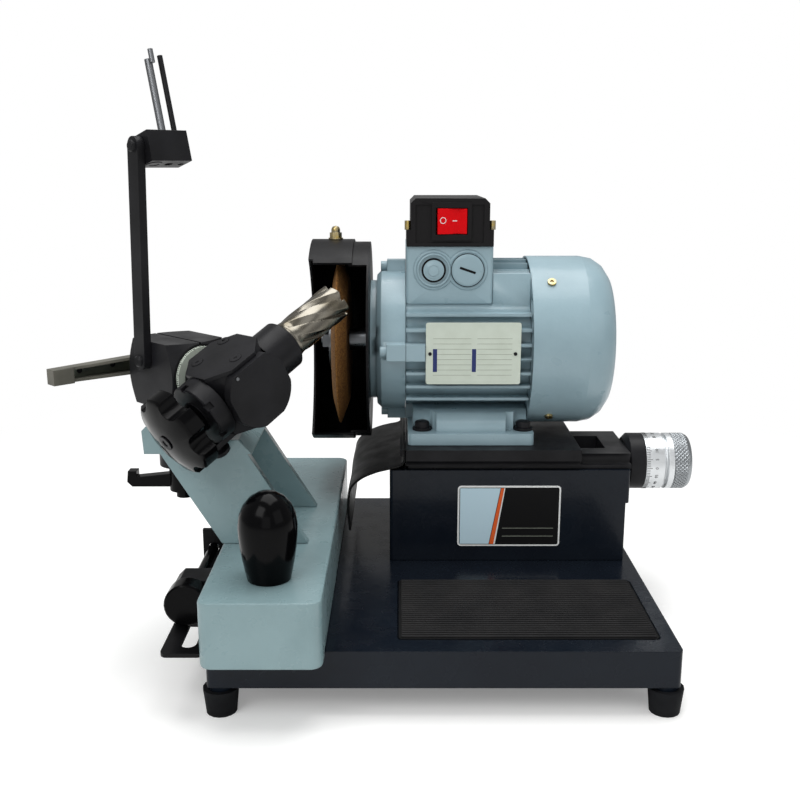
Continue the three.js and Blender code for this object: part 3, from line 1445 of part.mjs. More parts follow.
function buildHead(group) {
  const turnGroup = new THREE.Group();
  turnGroup.position.set(head.x, head.y, head.tiltZ);
  turnGroup.rotation.z = radians(head.turn);
  group.add(turnGroup);
  addPart(turnGroup, 'head_block', splitBlock(), finish.blackOxide);
  addPart(turnGroup, 'swivel_post', swivelPost(), finish.steel);
  addPart(turnGroup, 'post_washer', postWasher(), finish.blackOxide);
  addPart(turnGroup, 'graduated_dial', gradDial(), finish.scale);
  addPart(turnGroup, 'big_clamp_lever', bigClampLever(), finish.blackOxide);
  buildGauge(turnGroup);

  const leverGroup = new THREE.Group();
  leverGroup.position.set(head.x, head.y, head.tiltZ);
  group.add(leverGroup);
  addPart(leverGroup, 'small_clamp_lever', smallClampLever(), finish.blackPlastic);

  const tiltGroup = new THREE.Group();
  tiltGroup.position.set(tilt.offset, 0, 0);
  tiltGroup.rotation.x = radians(tilt.angle);
  turnGroup.add(tiltGroup);
  addPart(tiltGroup, 'spindle_housing', spindleHousing(), finish.blackOxide);
  addPart(tiltGroup, 'cover_plate', coverPlate(), finish.blackOxide);
  addPart(tiltGroup, 'spindle', spindleBody(), finish.blackOxide);
  addPart(tiltGroup, 'index_disc', indexPlate(), finish.blackOxide);
  addPart(tiltGroup, 'star_knob', starKnobBody(), finish.blackPlastic);
  addPart(tiltGroup, 'index_plunger', indexPlunger(), finish.steel);
  addPart(tiltGroup, 'annular_cutter', solid(cutterGeometry()), finish.steel);
}

// Assembly, moved so that the middle of its footprint is the origin

const grinder = new THREE.Group();
buildBase(grinder);
buildSlide(grinder);
buildMotor(grinder);
buildSwitch(grinder);
buildWheel(grinder);
buildCover(grinder);
buildArm(grinder);
buildStop(grinder);
buildHead(grinder);

grinder.updateMatrixWorld(true);
const bounds = new THREE.Box3().setFromObject(grinder, true);
const centre = bounds.getCenter(new THREE.Vector3());
grinder.position.set(-centre.x, -centre.y, -bounds.min.z);
grinder.updateMatrixWorld(true);

export default grinder;
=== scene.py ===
import bpy
import bmesh
import json
import math
from mathutils import Matrix, Vector


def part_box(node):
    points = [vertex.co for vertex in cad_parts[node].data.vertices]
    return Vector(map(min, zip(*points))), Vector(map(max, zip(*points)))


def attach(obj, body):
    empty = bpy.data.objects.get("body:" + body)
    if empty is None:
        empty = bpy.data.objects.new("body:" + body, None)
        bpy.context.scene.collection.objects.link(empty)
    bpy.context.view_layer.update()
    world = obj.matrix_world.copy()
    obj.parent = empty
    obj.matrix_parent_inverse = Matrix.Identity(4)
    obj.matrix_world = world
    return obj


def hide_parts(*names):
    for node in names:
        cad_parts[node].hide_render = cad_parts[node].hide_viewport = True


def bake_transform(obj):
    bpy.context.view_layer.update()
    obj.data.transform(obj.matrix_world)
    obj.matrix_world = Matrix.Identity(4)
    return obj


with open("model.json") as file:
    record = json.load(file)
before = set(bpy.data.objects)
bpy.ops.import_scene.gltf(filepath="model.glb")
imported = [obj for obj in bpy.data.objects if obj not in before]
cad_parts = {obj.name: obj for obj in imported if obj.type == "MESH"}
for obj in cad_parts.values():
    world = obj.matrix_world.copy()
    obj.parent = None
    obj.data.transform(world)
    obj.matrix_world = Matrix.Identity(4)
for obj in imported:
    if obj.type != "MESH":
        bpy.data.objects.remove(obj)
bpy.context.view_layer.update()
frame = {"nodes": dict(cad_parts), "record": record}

MM = 0.001
low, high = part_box("base_casting")
BASE = Matrix.Translation(((low.x + high.x) / 2, (low.y + high.y) / 2, 0.0)) @ Matrix.Scale(MM, 4)

# The machine's own frames, in millimetres: motor axis, feed screw, work head, tilting spindle
MOTOR = BASE @ Matrix.Translation((0, 78, 230)) @ Matrix.Rotation(math.radians(90), 4, "Y")
FEED = BASE @ Matrix.Translation((0, 45, 126.5)) @ Matrix.Rotation(math.radians(90), 4, "Y")
HEAD = BASE @ Matrix.Translation((-207.6, -23.8, 222.5)) @ Matrix.Rotation(math.radians(-45), 4, "Z")
TILT = HEAD @ Matrix.Translation((77, 0, 0)) @ Matrix.Rotation(math.radians(28), 4, "X")
SPINDLE = TILT @ Matrix.Rotation(math.radians(-90), 4, "X")
ROCKER = BASE @ Matrix.Translation((11.7, 30.5, 336.6)) @ Matrix.Rotation(math.radians(7), 4, "Z")
GAUGE = HEAD @ Matrix.Translation((-4, 0, 10.8)) @ Matrix.Rotation(math.radians(2.8), 4, "Y") @ Matrix.Translation(
    (0, 0, 162.3)) @ Matrix.Rotation(math.radians(-17.9), 4, "Y")


def at(x, y, z):
    return BASE @ Vector((x, y, z))


def front(y, x=0, z=0):
    """A drawing plane that faces the operator: its own X and Y are the machine's X and Z, and it rises towards -Y."""
    return BASE @ Matrix.Translation((x, y, z)) @ Matrix.Rotation(math.radians(90), 4, "X")


# Camera: the photograph's place and lens, a little above the machine and looking down on it

LENS, SENSOR = 45, 36
CAMERA_PLACE, CAMERA_DIP = (-31, -807.5, 381), 13.17


def set_camera():
    data = bpy.data.cameras.new("photo_camera")
    data.lens = LENS
    data.sensor_width = SENSOR
    data.clip_start = 0.01
    camera = bpy.data.objects.new("photo_camera", data)
    camera.location = at(*CAMERA_PLACE)
    camera.rotation_euler = (math.radians(90 - CAMERA_DIP), 0, 0)
    bpy.context.scene.collection.objects.link(camera)
    bpy.context.scene.camera = camera


set_camera()
bpy.context.scene.view_settings.view_transform = "Standard"


# Colour and node helpers

def linear(hexa):
    parts = [int(hexa[i:i + 2], 16) / 255 for i in (1, 3, 5)]
    return [p / 12.92 if p <= 0.04045 else ((p + 0.055) / 1.055) ** 2.4 for p in parts] + [1.0]


def node(tree, kind, settings=None, links=None):
    """Adds one node. A setting is one of the node's own choices, or the value of an input by name or number."""
    made = tree.nodes.new(kind)
    for key, value in (settings or {}).items():
        if isinstance(key, str) and hasattr(made, key):
            setattr(made, key, value)
        else:
            made.inputs[key].default_value = value
    for key, source in (links or {}).items():
        tree.links.new(source, made.inputs[key])
    return made


# Dull blacks mirror less of the studio than pale paint does
BLACK_SPECULAR, PLAIN_SPECULAR = 0.12, 0.4


def start_material(name, hexa, roughness, metallic=0.0, **extra):
    """A bare shader with its uniform values, and the object coordinates that every pattern reads."""
    material = bpy.data.materials.new(name)
    material.use_nodes = True
    tree = material.node_tree
    tree.nodes.clear()
    settings = {"Base Color": linear(hexa), "Roughness": roughness, "Metallic": metallic, **extra}
    if metallic < 0.3:
        is_black = sum(linear(hexa)[:3]) < 0.15
        settings.setdefault("Specular IOR Level", BLACK_SPECULAR if is_black else PLAIN_SPECULAR)
    shader = node(tree, "ShaderNodeBsdfPrincipled", settings)
    node(tree, "ShaderNodeOutputMaterial", links={"Surface": shader.outputs[0]})
    where = node(tree, "ShaderNodeTexCoord").outputs["Object"]
    return material, tree, shader, where


def varied(tree, where, scale, detail, lowest, highest):
    """A number that wanders between two values with a noise of that scale."""
    noise = node(tree, "ShaderNodeTexNoise", {"Scale": scale, "Detail": detail}, {"Vector": where})
    ranged = node(tree, "ShaderNodeMapRange", {"From Min": 0.3, "From Max": 0.7, "To Min": lowest, "To Max": highest},
                  {"Value": noise.outputs[0]})
    return ranged.outputs[0]


def mottled(tree, where, scale, detail, stops, hexas):
    """A colour that wanders between two with a noise of that scale. The stops say where each is pure."""
    noise = node(tree, "ShaderNodeTexNoise", {"Scale": scale, "Detail": detail}, {"Vector": where})
    ramp = node(tree, "ShaderNodeValToRGB", links={0: noise.outputs[0]})
    for element, stop, hexa in zip(ramp.color_ramp.elements, stops, hexas):
        element.position = stop
        element.color = linear(hexa)
    return ramp.outputs[0]


def rounded_bump(tree, shader, height, strength, distance, edge=0.0006):
    """Bump over edges that the shader rounds off, as a file or a coat of paint leaves them."""
    rounded = node(tree, "ShaderNodeBevel", {"samples": 4, "Radius": edge})
    bump = node(tree, "ShaderNodeBump", {"Strength": strength, "Distance": distance},
                {"Height": height, "Normal": rounded.outputs[0]})
    tree.links.new(bump.outputs[0], shader.inputs["Normal"])


# Finishes

def enamel(name, hexa, dark, roughness):
    # Sprayed machine enamel over cast iron: glossy, with orange peel a few millimetres across and thin dirt
    material, tree, shader, where = start_material(name, hexa, roughness)
    shader.inputs["Coat Weight"].default_value = 0.12
    shader.inputs["Coat Roughness"].default_value = 0.1
    tree.links.new(mottled(tree, where, 22, 4, (0.38, 0.72), (hexa, dark)), shader.inputs["Base Color"])
    tree.links.new(varied(tree, where, 60, 3, roughness - 0.05, roughness + 0.1), shader.inputs["Roughness"])
    peel = node(tree, "ShaderNodeTexNoise", {"Scale": 330, "Detail": 2}, {"Vector": where})
    rounded_bump(tree, shader, peel.outputs[0], 0.22, 0.0005, 0.0012)
    return material


def black_oxide(name, hexa, rubbed):
    # Milled steel, chemically blackened: satin, with fine tool lines and a trace of oil, paler where hands rub it
    material, tree, shader, where = start_material(name, hexa, 0.38, **{"Specular IOR Level": 0.17})
    tree.links.new(mottled(tree, where, 30, 5, (0.3, 0.75), (hexa, rubbed)), shader.inputs["Base Color"])
    tree.links.new(varied(tree, where, 45, 4, 0.3, 0.5), shader.inputs["Roughness"])
    stretched = node(tree, "ShaderNodeMapping", {"Scale": (1.0, 1.0, 9.0)}, {"Vector": where})
    lines = node(tree, "ShaderNodeTexNoise", {"Scale": 260, "Detail": 3}, {"Vector": stretched.outputs[0]})
    rounded_bump(tree, shader, lines.outputs[0], 0.12, 0.0003, 0.0007)
    return material


def black_coat():
    # Pressed sheet steel with a satin powder coat: a fine even pebble
    material, tree, shader, where = start_material("powder_coat", "#0f0f11", 0.34)
    tree.links.new(varied(tree, where, 35, 4, 0.32, 0.5), shader.inputs["Roughness"])
    pebble = node(tree, "ShaderNodeTexNoise", {"Scale": 700, "Detail": 2}, {"Vector": where})
    rounded_bump(tree, shader, pebble.outputs[0], 0.2, 0.0004)
    return material


def phenolic():
    # Moulded phenolic of knobs and handles: deep gloss with faint flow waves
    material, tree, shader, where = start_material("phenolic_plastic", "#050506", 0.12, **{"Specular IOR Level": 0.08})
    tree.links.new(varied(tree, where, 50, 3, 0.09, 0.2), shader.inputs["Roughness"])
    waves = node(tree, "ShaderNodeTexNoise", {"Scale": 55, "Detail": 1}, {"Vector": where})
    rounded_bump(tree, shader, waves.outputs[0], 0.08, 0.0006, 0.001)
    return material


def abs_plastic(name, hexa, roughness, **extra):
    # Injection-moulded ABS: a fine spark-eroded grain
    material, tree, shader, where = start_material(name, hexa, roughness, **extra)
    tree.links.new(varied(tree, where, 40, 3, roughness - 0.06, roughness + 0.08), shader.inputs["Roughness"])
    grain = node(tree, "ShaderNodeTexNoise", {"Scale": 1500, "Detail": 1}, {"Vector": where})
    rounded_bump(tree, shader, grain.outputs[0], 0.15, 0.0002)
    return material


def rubber(name, hexa, dusty, low_rough, high_rough):
    # Moulded black rubber: a little grey with dust, with a fine skin
    material, tree, shader, where = start_material(name, hexa, (low_rough + high_rough) / 2)
    tree.links.new(mottled(tree, where, 28, 5, (0.35, 0.75), (hexa, dusty)), shader.inputs["Base Color"])
    tree.links.new(varied(tree, where, 60, 3, low_rough, high_rough), shader.inputs["Roughness"])
    grain = node(tree, "ShaderNodeTexNoise", {"Scale": 900, "Detail": 2}, {"Vector": where})
    rounded_bump(tree, shader, grain.outputs[0], 0.25, 0.0003)
    return material


def turned_steel(name, hexa, roughness, turn=None, pitch=0.5):
    # Lathe-turned steel: rings around the axis, one for each feed of the tool, drawn coarse enough to show
    material, tree, shader, where = start_material(name, hexa, roughness, 1.0)
    tree.links.new(varied(tree, where, 70, 4, roughness - 0.06, roughness + 0.1), shader.inputs["Roughness"])
    settings = {"Rotation": turn} if turn else {}
    turned = node(tree, "ShaderNodeMapping", settings, {"Vector": where})
    rings = node(tree, "ShaderNodeTexWave", {"wave_type": "BANDS", "bands_direction": "Z",
                                             "Scale": 0.314 / (pitch * MM), "Distortion": 0.4},
                 {"Vector": turned.outputs[0]})
    rounded_bump(tree, shader, rings.outputs[0], 0.1, 0.0002, 0.0005)
    return material


def ground_steel():
    # Hardened tool steel, ground bright, with straw and brown tints of heat and oil
    material, tree, shader, where = start_material("ground_tool_steel", "#76736b", 0.26, 1.0)
    tree.links.new(mottled(tree, where, 55, 2, (0.35, 0.8), ("#7f7b72", "#625b4c")), shader.inputs["Base Color"])
    tree.links.new(varied(tree, where, 120, 2, 0.22, 0.32), shader.inputs["Roughness"])
    turned = node(tree, "ShaderNodeMapping", {"Rotation": (0.5, 0.3, 0.78), "Scale": (1, 12, 1)}, {"Vector": where})
    lines = node(tree, "ShaderNodeTexNoise", {"Scale": 240, "Detail": 2}, {"Vector": turned.outputs[0]})
    rounded_bump(tree, shader, lines.outputs[0], 0.06, 0.0002, 0.0004)
    return material


def abrasive():
    # Resin-bonded grit: brown grains about half a millimetre across, dark pores between them
    material, tree, shader, where = start_material("bonded_abrasive", "#7a4f20", 0.9)
    cells = node(tree, "ShaderNodeTexVoronoi", {"Scale": 1100}, {"Vector": where})
    ramp = node(tree, "ShaderNodeValToRGB", links={0: cells.outputs["Color"]})
    ramp.color_ramp.elements[0].color = linear("#5c3813")
    ramp.color_ramp.elements[1].color = linear("#a07036")
    tree.links.new(ramp.outputs[0], shader.inputs["Base Color"])
    rounded_bump(tree, shader, cells.outputs["Distance"], 0.6, 0.0004, 0.0008)
    return material


def zinc():
    # Zinc plate with a yellow chromate: patchy straw and grey
    material, tree, shader, where = start_material("yellow_zinc", "#a8935c", 0.34, 1.0)
    tree.links.new(mottled(tree, where, 260, 4, (0.3, 0.7), ("#bfa763", "#9d9784")), shader.inputs["Base Color"])
    grain = node(tree, "ShaderNodeTexNoise", {"Scale": 1400, "Detail": 2}, {"Vector": where})
    rounded_bump(tree, shader, grain.outputs[0], 0.15, 0.0002, 0.0004)
    return material


def plate_cream():
    # Printed aluminium plate left bare: a cream lacquer with a satin skin
    material, tree, shader, where = start_material("cream_plate", "#c4cdc1", 0.4, 0.1)
    tree.links.new(mottled(tree, where, 90, 4, (0.25, 0.8), ("#c7d0c4", "#bdc6b9")), shader.inputs["Base Color"])
    grain = node(tree, "ShaderNodeTexNoise", {"Scale": 800, "Detail": 2}, {"Vector": where})
    rounded_bump(tree, shader, grain.outputs[0], 0.08, 0.0002, 0.0003)
    return material


def ink(name, hexa):
    # Filled engraving: matt paint in a shallow cut. The black one also serves as painted shade in grooves, gaps, a
    # slot and holes
    material, tree, shader, where = start_material(name, hexa, 0.6)
    grain = node(tree, "ShaderNodeTexNoise", {"Scale": 1200, "Detail": 2}, {"Vector": where})
    rounded_bump(tree, shader, grain.outputs[0], 0.1, 0.0001, 0.0002)
    return material


NAVY = enamel("navy_enamel", "#10151d", "#141a22", 0.22)
CASTING = enamel("grey_green_enamel", "#80989c", "#758d91", 0.28)
MOTOR_GREY = enamel("motor_enamel", "#8fa7b0", "#839ba4", 0.32)
BLACKENED = black_oxide("blackened_steel", "#111113", "#1e1e21")
WORN_OXIDE = black_oxide("rubbed_blackened_steel", "#56554e", "#727067")
COAT = black_coat()
PHENOLIC = phenolic()
HOUSING_ABS = abs_plastic("black_abs", "#171617", 0.36)
RED_ABS = abs_plastic("red_rocker", "#cf0a12", 0.24, **{"Specular IOR Level": 0.07})
RUBBER = rubber("foot_rubber", "#0f1012", "#191a1d", 0.6, 0.85)
SHEET_RUBBER = rubber("sheet_rubber", "#0b0b0c", "#161616", 0.4, 0.55)
# The mat and its ribs are one rubber in two copies: the mat body darker as painted shade in the grooves, the ribs
# lighter as a painted highlight
MAT_RUBBER_WITH_PAINTED_SHADE = rubber("mat_rubber_with_painted_shade", "#0e0e0f", "#141415", 0.5, 0.75)
RIB_RUBBER_WITH_PAINTED_HIGHLIGHT = rubber("mat_rib_rubber_with_painted_highlight", "#1b1b1c", "#262525", 0.45, 0.65)
ALONG_X = (0, math.radians(90), 0)
FEED_STEEL = turned_steel("turned_steel_feed", "#c3c6c9", 0.26, ALONG_X)
DIAL_STEEL = turned_steel("satin_chromed_dial", "#dfe2e4", 0.36, ALONG_X)
KNOB_STEEL = turned_steel("knurled_bright_steel", "#9ca0a3", 0.28, ALONG_X)
SHAFT_STEEL = turned_steel("turned_steel_shaft", "#74777a", 0.3, ALONG_X)
POST_STEEL = turned_steel("turned_steel_post", "#77797c", 0.34)
WORN_STEEL = turned_steel("worn_lever_steel", "#7c8276", 0.32, None, 2.5)
CUTTER_STEEL = ground_steel()
GRIT = abrasive()
ZINC = zinc()
BRONZE = turned_steel("turned_bronze", "#a67f45", 0.34, ALONG_X)
CREAM = plate_cream()
# Black print of the scales, numbers and label, and also the painted shade of gaps, grooves, a slot and holes
BLACK_PRINT_AND_PAINTED_SHADE = ink("black_print_and_painted_shade", "#101011")
WHITE_INK = ink("white_filled_lines", "#e2e4e3")
BLUE_INK = ink("dark_blue_print", "#1d2a63")
GREY_INK = ink("grey_print", "#8e9488")
ORANGE_INK = ink("orange_print", "#d9591b")
PALE_INK = ink("pale_blue_print", "#b9d3df")


# Pieces

def finish_piece(name, mesh, body, material=None, sharp=35.0, smooth=True):
    """Names, shades and mounts one piece. A piece without a body is left unmounted where it stands."""
    if material is not None:
        mesh.materials.clear()
        mesh.materials.append(material)
    if smooth:
        mesh.shade_smooth()
        mesh.set_sharp_from_angle(angle=math.radians(sharp))
    piece = bpy.data.objects.new(name, mesh)
    bpy.context.scene.collection.objects.link(piece)
    if smooth:
        flatten = piece.modifiers.new("flat_faces_stay_flat", "WEIGHTED_NORMAL")
        flatten.keep_sharp = True
        flatten.weight = 60
    if body:
        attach(piece, body)
    return piece


BODY_OF = {n: b for b, names in frame["record"]["behaviour"]["bodies"].items() for n in names}


WELD = 1e-6
FLAT = math.radians(0.5)


def smooth_copy(name, material, sharp=32.0):
    """The node's own shape with its facets shaded as one curve."""
    source = frame["nodes"][name]
    mesh = source.data.copy()
    work = bmesh.new()
    work.from_mesh(mesh)
    bmesh.ops.remove_doubles(work, verts=work.verts, dist=WELD)
    bmesh.ops.dissolve_limit(work, angle_limit=FLAT, verts=work.verts, edges=work.edges)
    work.to_mesh(mesh)
    work.free()
    piece = finish_piece(name + "_finished", mesh, BODY_OF[name], material, sharp)
    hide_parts(name)
    return piece


def to_mesh(work, place=None):
    """The finished bmesh as a mesh, put in its place and still facing outwards."""
    if place is not None:
        bmesh.ops.transform(work, matrix=place, verts=work.verts)
        if place.to_3x3().determinant() < 0:
            bmesh.ops.reverse_faces(work, faces=work.faces)
    mesh = bpy.data.meshes.new("piece")
    work.to_mesh(mesh)
    work.free()
    return mesh


def full_turn(around):
    """Evenly spaced angles of one turn."""
    return [2 * math.pi * i / around for i in range(around)]


def skin(work, rings):
    """Closes rings of equally many points into one solid with flat ends."""
    around = len(rings[0])
    for lower, upper in zip(rings, rings[1:]):
        for i in range(around):
            j = (i + 1) % around
            work.faces.new((lower[i], lower[j], upper[j], upper[i]))
    work.faces.new(rings[0])
    work.faces.new(rings[-1])
    bmesh.ops.recalc_face_normals(work, faces=work.faces)


def lathe(profile, place, around=96):
    """A closed solid turned about the local Z axis from (radius, height) pairs."""
    work = bmesh.new()
    rings = []
    for radius, height in profile:
        if radius < WELD:
            rings.append([work.verts.new((0, 0, height))])
            continue
        rings.append([work.verts.new((radius * math.cos(a), radius * math.sin(a), height)) for a in full_turn(around)])
    closed = rings[0] if len(rings[0]) > 1 else None
    pairs = list(zip(rings, rings[1:]))
    if closed:
        pairs.append((rings[-1], rings[0]))
    for lower, upper in pairs:
        for i in range(around):
            j = (i + 1) % around
            corners = [lower[i % len(lower)], lower[j % len(lower)], upper[j % len(upper)], upper[i % len(upper)]]
            unique = list(dict.fromkeys(corners))
            if len(unique) > 2:
                work.faces.new(unique)
    bmesh.ops.recalc_face_normals(work, faces=work.faces)
    return to_mesh(work, place)


def block(x0, x1, y0, y1, z0, z1, bevel):
    """A block with its edges broken by a file."""
    work = bmesh.new()
    bmesh.ops.create_cube(work, size=1.0)
    bmesh.ops.scale(work, vec=(x1 - x0, y1 - y0, z1 - z0), verts=work.verts)
    bmesh.ops.translate(work, vec=((x0 + x1) / 2, (y0 + y1) / 2, (z0 + z1) / 2), verts=work.verts)
    bmesh.ops.bevel(work, geom=work.edges[:], offset=bevel, segments=2, profile=0.5, affect="EDGES")
    return to_mesh(work, BASE)


def prism(points, low_z, high_z, place, bevel=0.0):
    """An outline in the local XY plane, raised along the local Z axis, with its edges broken."""
    work = bmesh.new()
    skin(work, [[work.verts.new((x, y, z)) for x, y in points] for z in (low_z, high_z)])
    if bevel:
        bmesh.ops.bevel(work, geom=work.edges[:], offset=bevel, segments=2, profile=0.5, affect="EDGES")
    return to_mesh(work, place)


def round_corners(x0, x1, z0, z1, radius, steps=6):
    """The outline of a plate with rounded corners."""
    points = []
    left, right, bottom, top = x0 + radius, x1 - radius, z0 + radius, z1 - radius
    for cx, cz, start in ((right, top, 0), (left, top, 90), (left, bottom, 180), (right, bottom, 270)):
        for i in range(steps + 1):
            a = math.radians(start + 90 * i / steps)
            points.append((cx + radius * math.cos(a), cz + radius * math.sin(a)))
    return points


def ring_bead(radius, bead, place, rise=0.0, around=96):
    """A round bead laid in a ring about the local Z axis."""
    return lathe([(radius + bead * math.cos(a), rise + bead * math.sin(a)) for a in full_turn(12)], place, around)


def disc(radius, low_z, high_z, place, around=48):
    """A flat round about the local Z axis."""
    return lathe([(0, low_z), (radius, low_z), (radius, high_z), (0, high_z)], place, around)


def band(inner, outer, low_z, high_z, place, around=96):
    """A flat ring about the local Z axis."""
    return lathe([(inner, low_z), (outer, low_z), (outer, high_z), (inner, high_z)], place, around)


def joined(name, meshes, body, material, sharp=35.0):
    """One piece from several meshes that share a body and a finish."""
    work = bmesh.new()
    for mesh in meshes:
        work.from_mesh(mesh)
    return finish_piece(name, to_mesh(work), body, material, sharp)


# Geometry Nodes: what repeats, with its sizes as named inputs

def start_tree(name, sizes, counts):
    """A tree with those named inputs and a finish. It returns the tree and its inputs."""
    tree = bpy.data.node_groups.new(name, "GeometryNodeTree")
    sockets = [("Geometry", "NodeSocketGeometry", None)]
    sockets += [(label, "NodeSocketFloat", value) for label, value in sizes]
    sockets += [(label, "NodeSocketInt", value) for label, value in counts]
    sockets.append(("Finish", "NodeSocketMaterial", None))
    for label, kind, value in sockets:
        made = tree.interface.new_socket(label, in_out="INPUT", socket_type=kind)
        if value is not None:
            made.default_value = value
    tree.interface.new_socket("Geometry", in_out="OUTPUT", socket_type="NodeSocketGeometry")
    return tree, node(tree, "NodeGroupInput").outputs


def end_tree(tree, given, placed):
    """Makes the placed copies real and gives them the finish."""
    real = node(tree, "GeometryNodeRealizeInstances", links={"Geometry": placed.outputs[0]})
    dressed = node(tree, "GeometryNodeSetMaterial", links={"Geometry": real.outputs[0], "Material": given["Finish"]})
    node(tree, "NodeGroupOutput", links={"Geometry": dressed.outputs[0]})
    return tree


def screw_tree():
    """A head with its recess on each placing point, facing the way that the point's own arrow says."""
    sizes = (("Head Radius", 0.003), ("Head Height", 0.002), ("Recess Radius", 0.0013), ("Recess Depth", 0.001))
    tree, given = start_tree("screw_heads", sizes, (("Head Sides", 32), ("Recess Sides", 6)))
    head = node(tree, "GeometryNodeMeshCylinder", links={
        "Vertices": given["Head Sides"], "Radius": given["Head Radius"], "Depth": given["Head Height"]})
    recess = node(tree, "GeometryNodeMeshCylinder", links={
        "Vertices": given["Recess Sides"], "Radius": given["Recess Radius"], "Depth": given["Recess Depth"]})
    half = node(tree, "ShaderNodeMath", {"operation": "MULTIPLY", 1: 0.5}, {0: given["Head Height"]})
    lift = node(tree, "ShaderNodeCombineXYZ", links={"Z": half.outputs[0]})
    top = node(tree, "ShaderNodeCombineXYZ", links={"Z": given["Head Height"]})
    raised = node(tree, "GeometryNodeTransform", links={
        "Geometry": head.outputs["Mesh"], "Translation": lift.outputs[0]})
    sunk = node(tree, "GeometryNodeTransform", links={
        "Geometry": recess.outputs["Mesh"], "Translation": top.outputs[0]})
    cut = node(tree, "GeometryNodeMeshBoolean", {"operation": "DIFFERENCE", "solver": "EXACT"},
               {"Mesh 1": raised.outputs[0], "Mesh 2": sunk.outputs[0]})
    arrow = node(tree, "GeometryNodeInputNamedAttribute", {"data_type": "FLOAT_VECTOR", "Name": "out"})
    facing = node(tree, "FunctionNodeAlignRotationToVector", {"axis": "Z"}, {"Vector": arrow.outputs[0]})
    placed = node(tree, "GeometryNodeInstanceOnPoints", links={
        "Points": given["Geometry"], "Instance": cut.outputs[0], "Rotation": facing.outputs[0]})
    return end_tree(tree, given, placed)


def run_tree(tree, mesh, inputs):
    """The tree's result on that mesh, as a plain mesh."""
    carrier = bpy.data.objects.new("carrier", mesh)
    bpy.context.scene.collection.objects.link(carrier)
    modifier = carrier.modifiers.new("tree", "NODES")
    modifier.node_group = tree
    for item in tree.interface.items_tree:
        if item.item_type == "SOCKET" and item.in_out == "INPUT" and item.name in inputs:
            modifier[item.identifier] = inputs[item.name]
    evaluated = carrier.evaluated_get(bpy.context.evaluated_depsgraph_get())
    result = bpy.data.meshes.new_from_object(evaluated)
    carrier.modifiers.remove(modifier)
    bpy.data.objects.remove(carrier)
    return result


SCREW_TREE = screw_tree()


def screws(name, spots, body, material, radius, height, recess=0.0, depth=0.0, sides=32, recess_sides=6):
    """Heads on spots, each a point and the way out of the surface there. Sizes are in millimetres."""
    mesh = bpy.data.meshes.new("spots")
    mesh.from_pydata([p for p, _ in spots], [], [])
    arrows = mesh.attributes.new("out", "FLOAT_VECTOR", "POINT")
    for i, (_, out) in enumerate(spots):
        arrows.data[i].vector = Vector(out).normalized()
    made = run_tree(SCREW_TREE, mesh, {
        "Head Radius": radius * MM, "Head Height": height * MM, "Recess Radius": max(recess, 0.05) * MM,
        "Recess Depth": 2 * max(depth, 0.05) * MM, "Head Sides": sides, "Recess Sides": recess_sides,
        "Finish": material})
    return finish_piece(name, made, body, None, 30.0)


def spot(place, point, out):
    """A point and an arrow of one of the machine's frames, for a screw."""
    turned = place.to_3x3() @ Vector(out)
    return (place @ Vector(point), turned)


# Every node that shows keeps its shape and gets its finish

SHOWN = {
    "base_casting": NAVY, "riser": NAVY, "swing_arm": CASTING, "work_column": CASTING, "dovetail_way": BLACKENED,
    "slide_table": BLACKENED, "feed_hub": BLACKENED, "motor_frame": MOTOR_GREY, "front_end_shield": MOTOR_GREY,
    "fan_cowl": MOTOR_GREY, "motor_foot": MOTOR_GREY, "terminal_box": MOTOR_GREY, "switch_housing": HOUSING_ABS,
    "grinding_wheel": GRIT, "wheel_flange": SHAFT_STEEL, "wheel_nut": SHAFT_STEEL,
    "wheel_spacer": SHAFT_STEEL, "guard_back": COAT, "guard_cover": COAT, "cover_clamp": COAT,
    "arm_handle": PHENOLIC, "stop_bracket": COAT, "stop_block": BLACKENED, "stop_screw": PHENOLIC,
    "head_block": BLACKENED, "swivel_post": POST_STEEL, "post_washer": BLACKENED, "graduated_dial": CREAM,
    "big_clamp_lever": WORN_OXIDE, "gauge_arm": BLACKENED, "gauge_block": BLACKENED, "gauge_rod_silver": POST_STEEL,
    "gauge_rod_dark": BLACKENED, "small_clamp_lever": PHENOLIC, "spindle_housing": BLACKENED,
    "cover_plate": BLACKENED, "spindle": BLACKENED, "index_disc": BLACKENED, "star_knob": PHENOLIC,
    "index_plunger": BLACKENED, "foot_front_left": RUBBER, "foot_front_right": RUBBER, "foot_rear_left": RUBBER,
    "foot_rear_right": RUBBER, "tray_mat": MAT_RUBBER_WITH_PAINTED_SHADE, "rear_end_shield": MOTOR_GREY, "rotor_shaft": SHAFT_STEEL,
}
for name, material in SHOWN.items():
    smooth_copy(name, material)

HIDDEN = {
    "gib_strip": POST_STEEL, "feed_nut": BRONZE, "feed_screw": FEED_STEEL, "pivot_pin": POST_STEEL,
    "stator_core": POST_STEEL, "front_bearing": SHAFT_STEEL, "rear_bearing": SHAFT_STEEL, "cooling_fan": HOUSING_ABS,
}
for name, material in HIDDEN.items():
    mesh = frame["nodes"][name].data
    mesh.materials.clear()
    mesh.materials.append(material)


# Annular cutter: the rule of its solid with fine steps, and flutes that drop sharply on one side

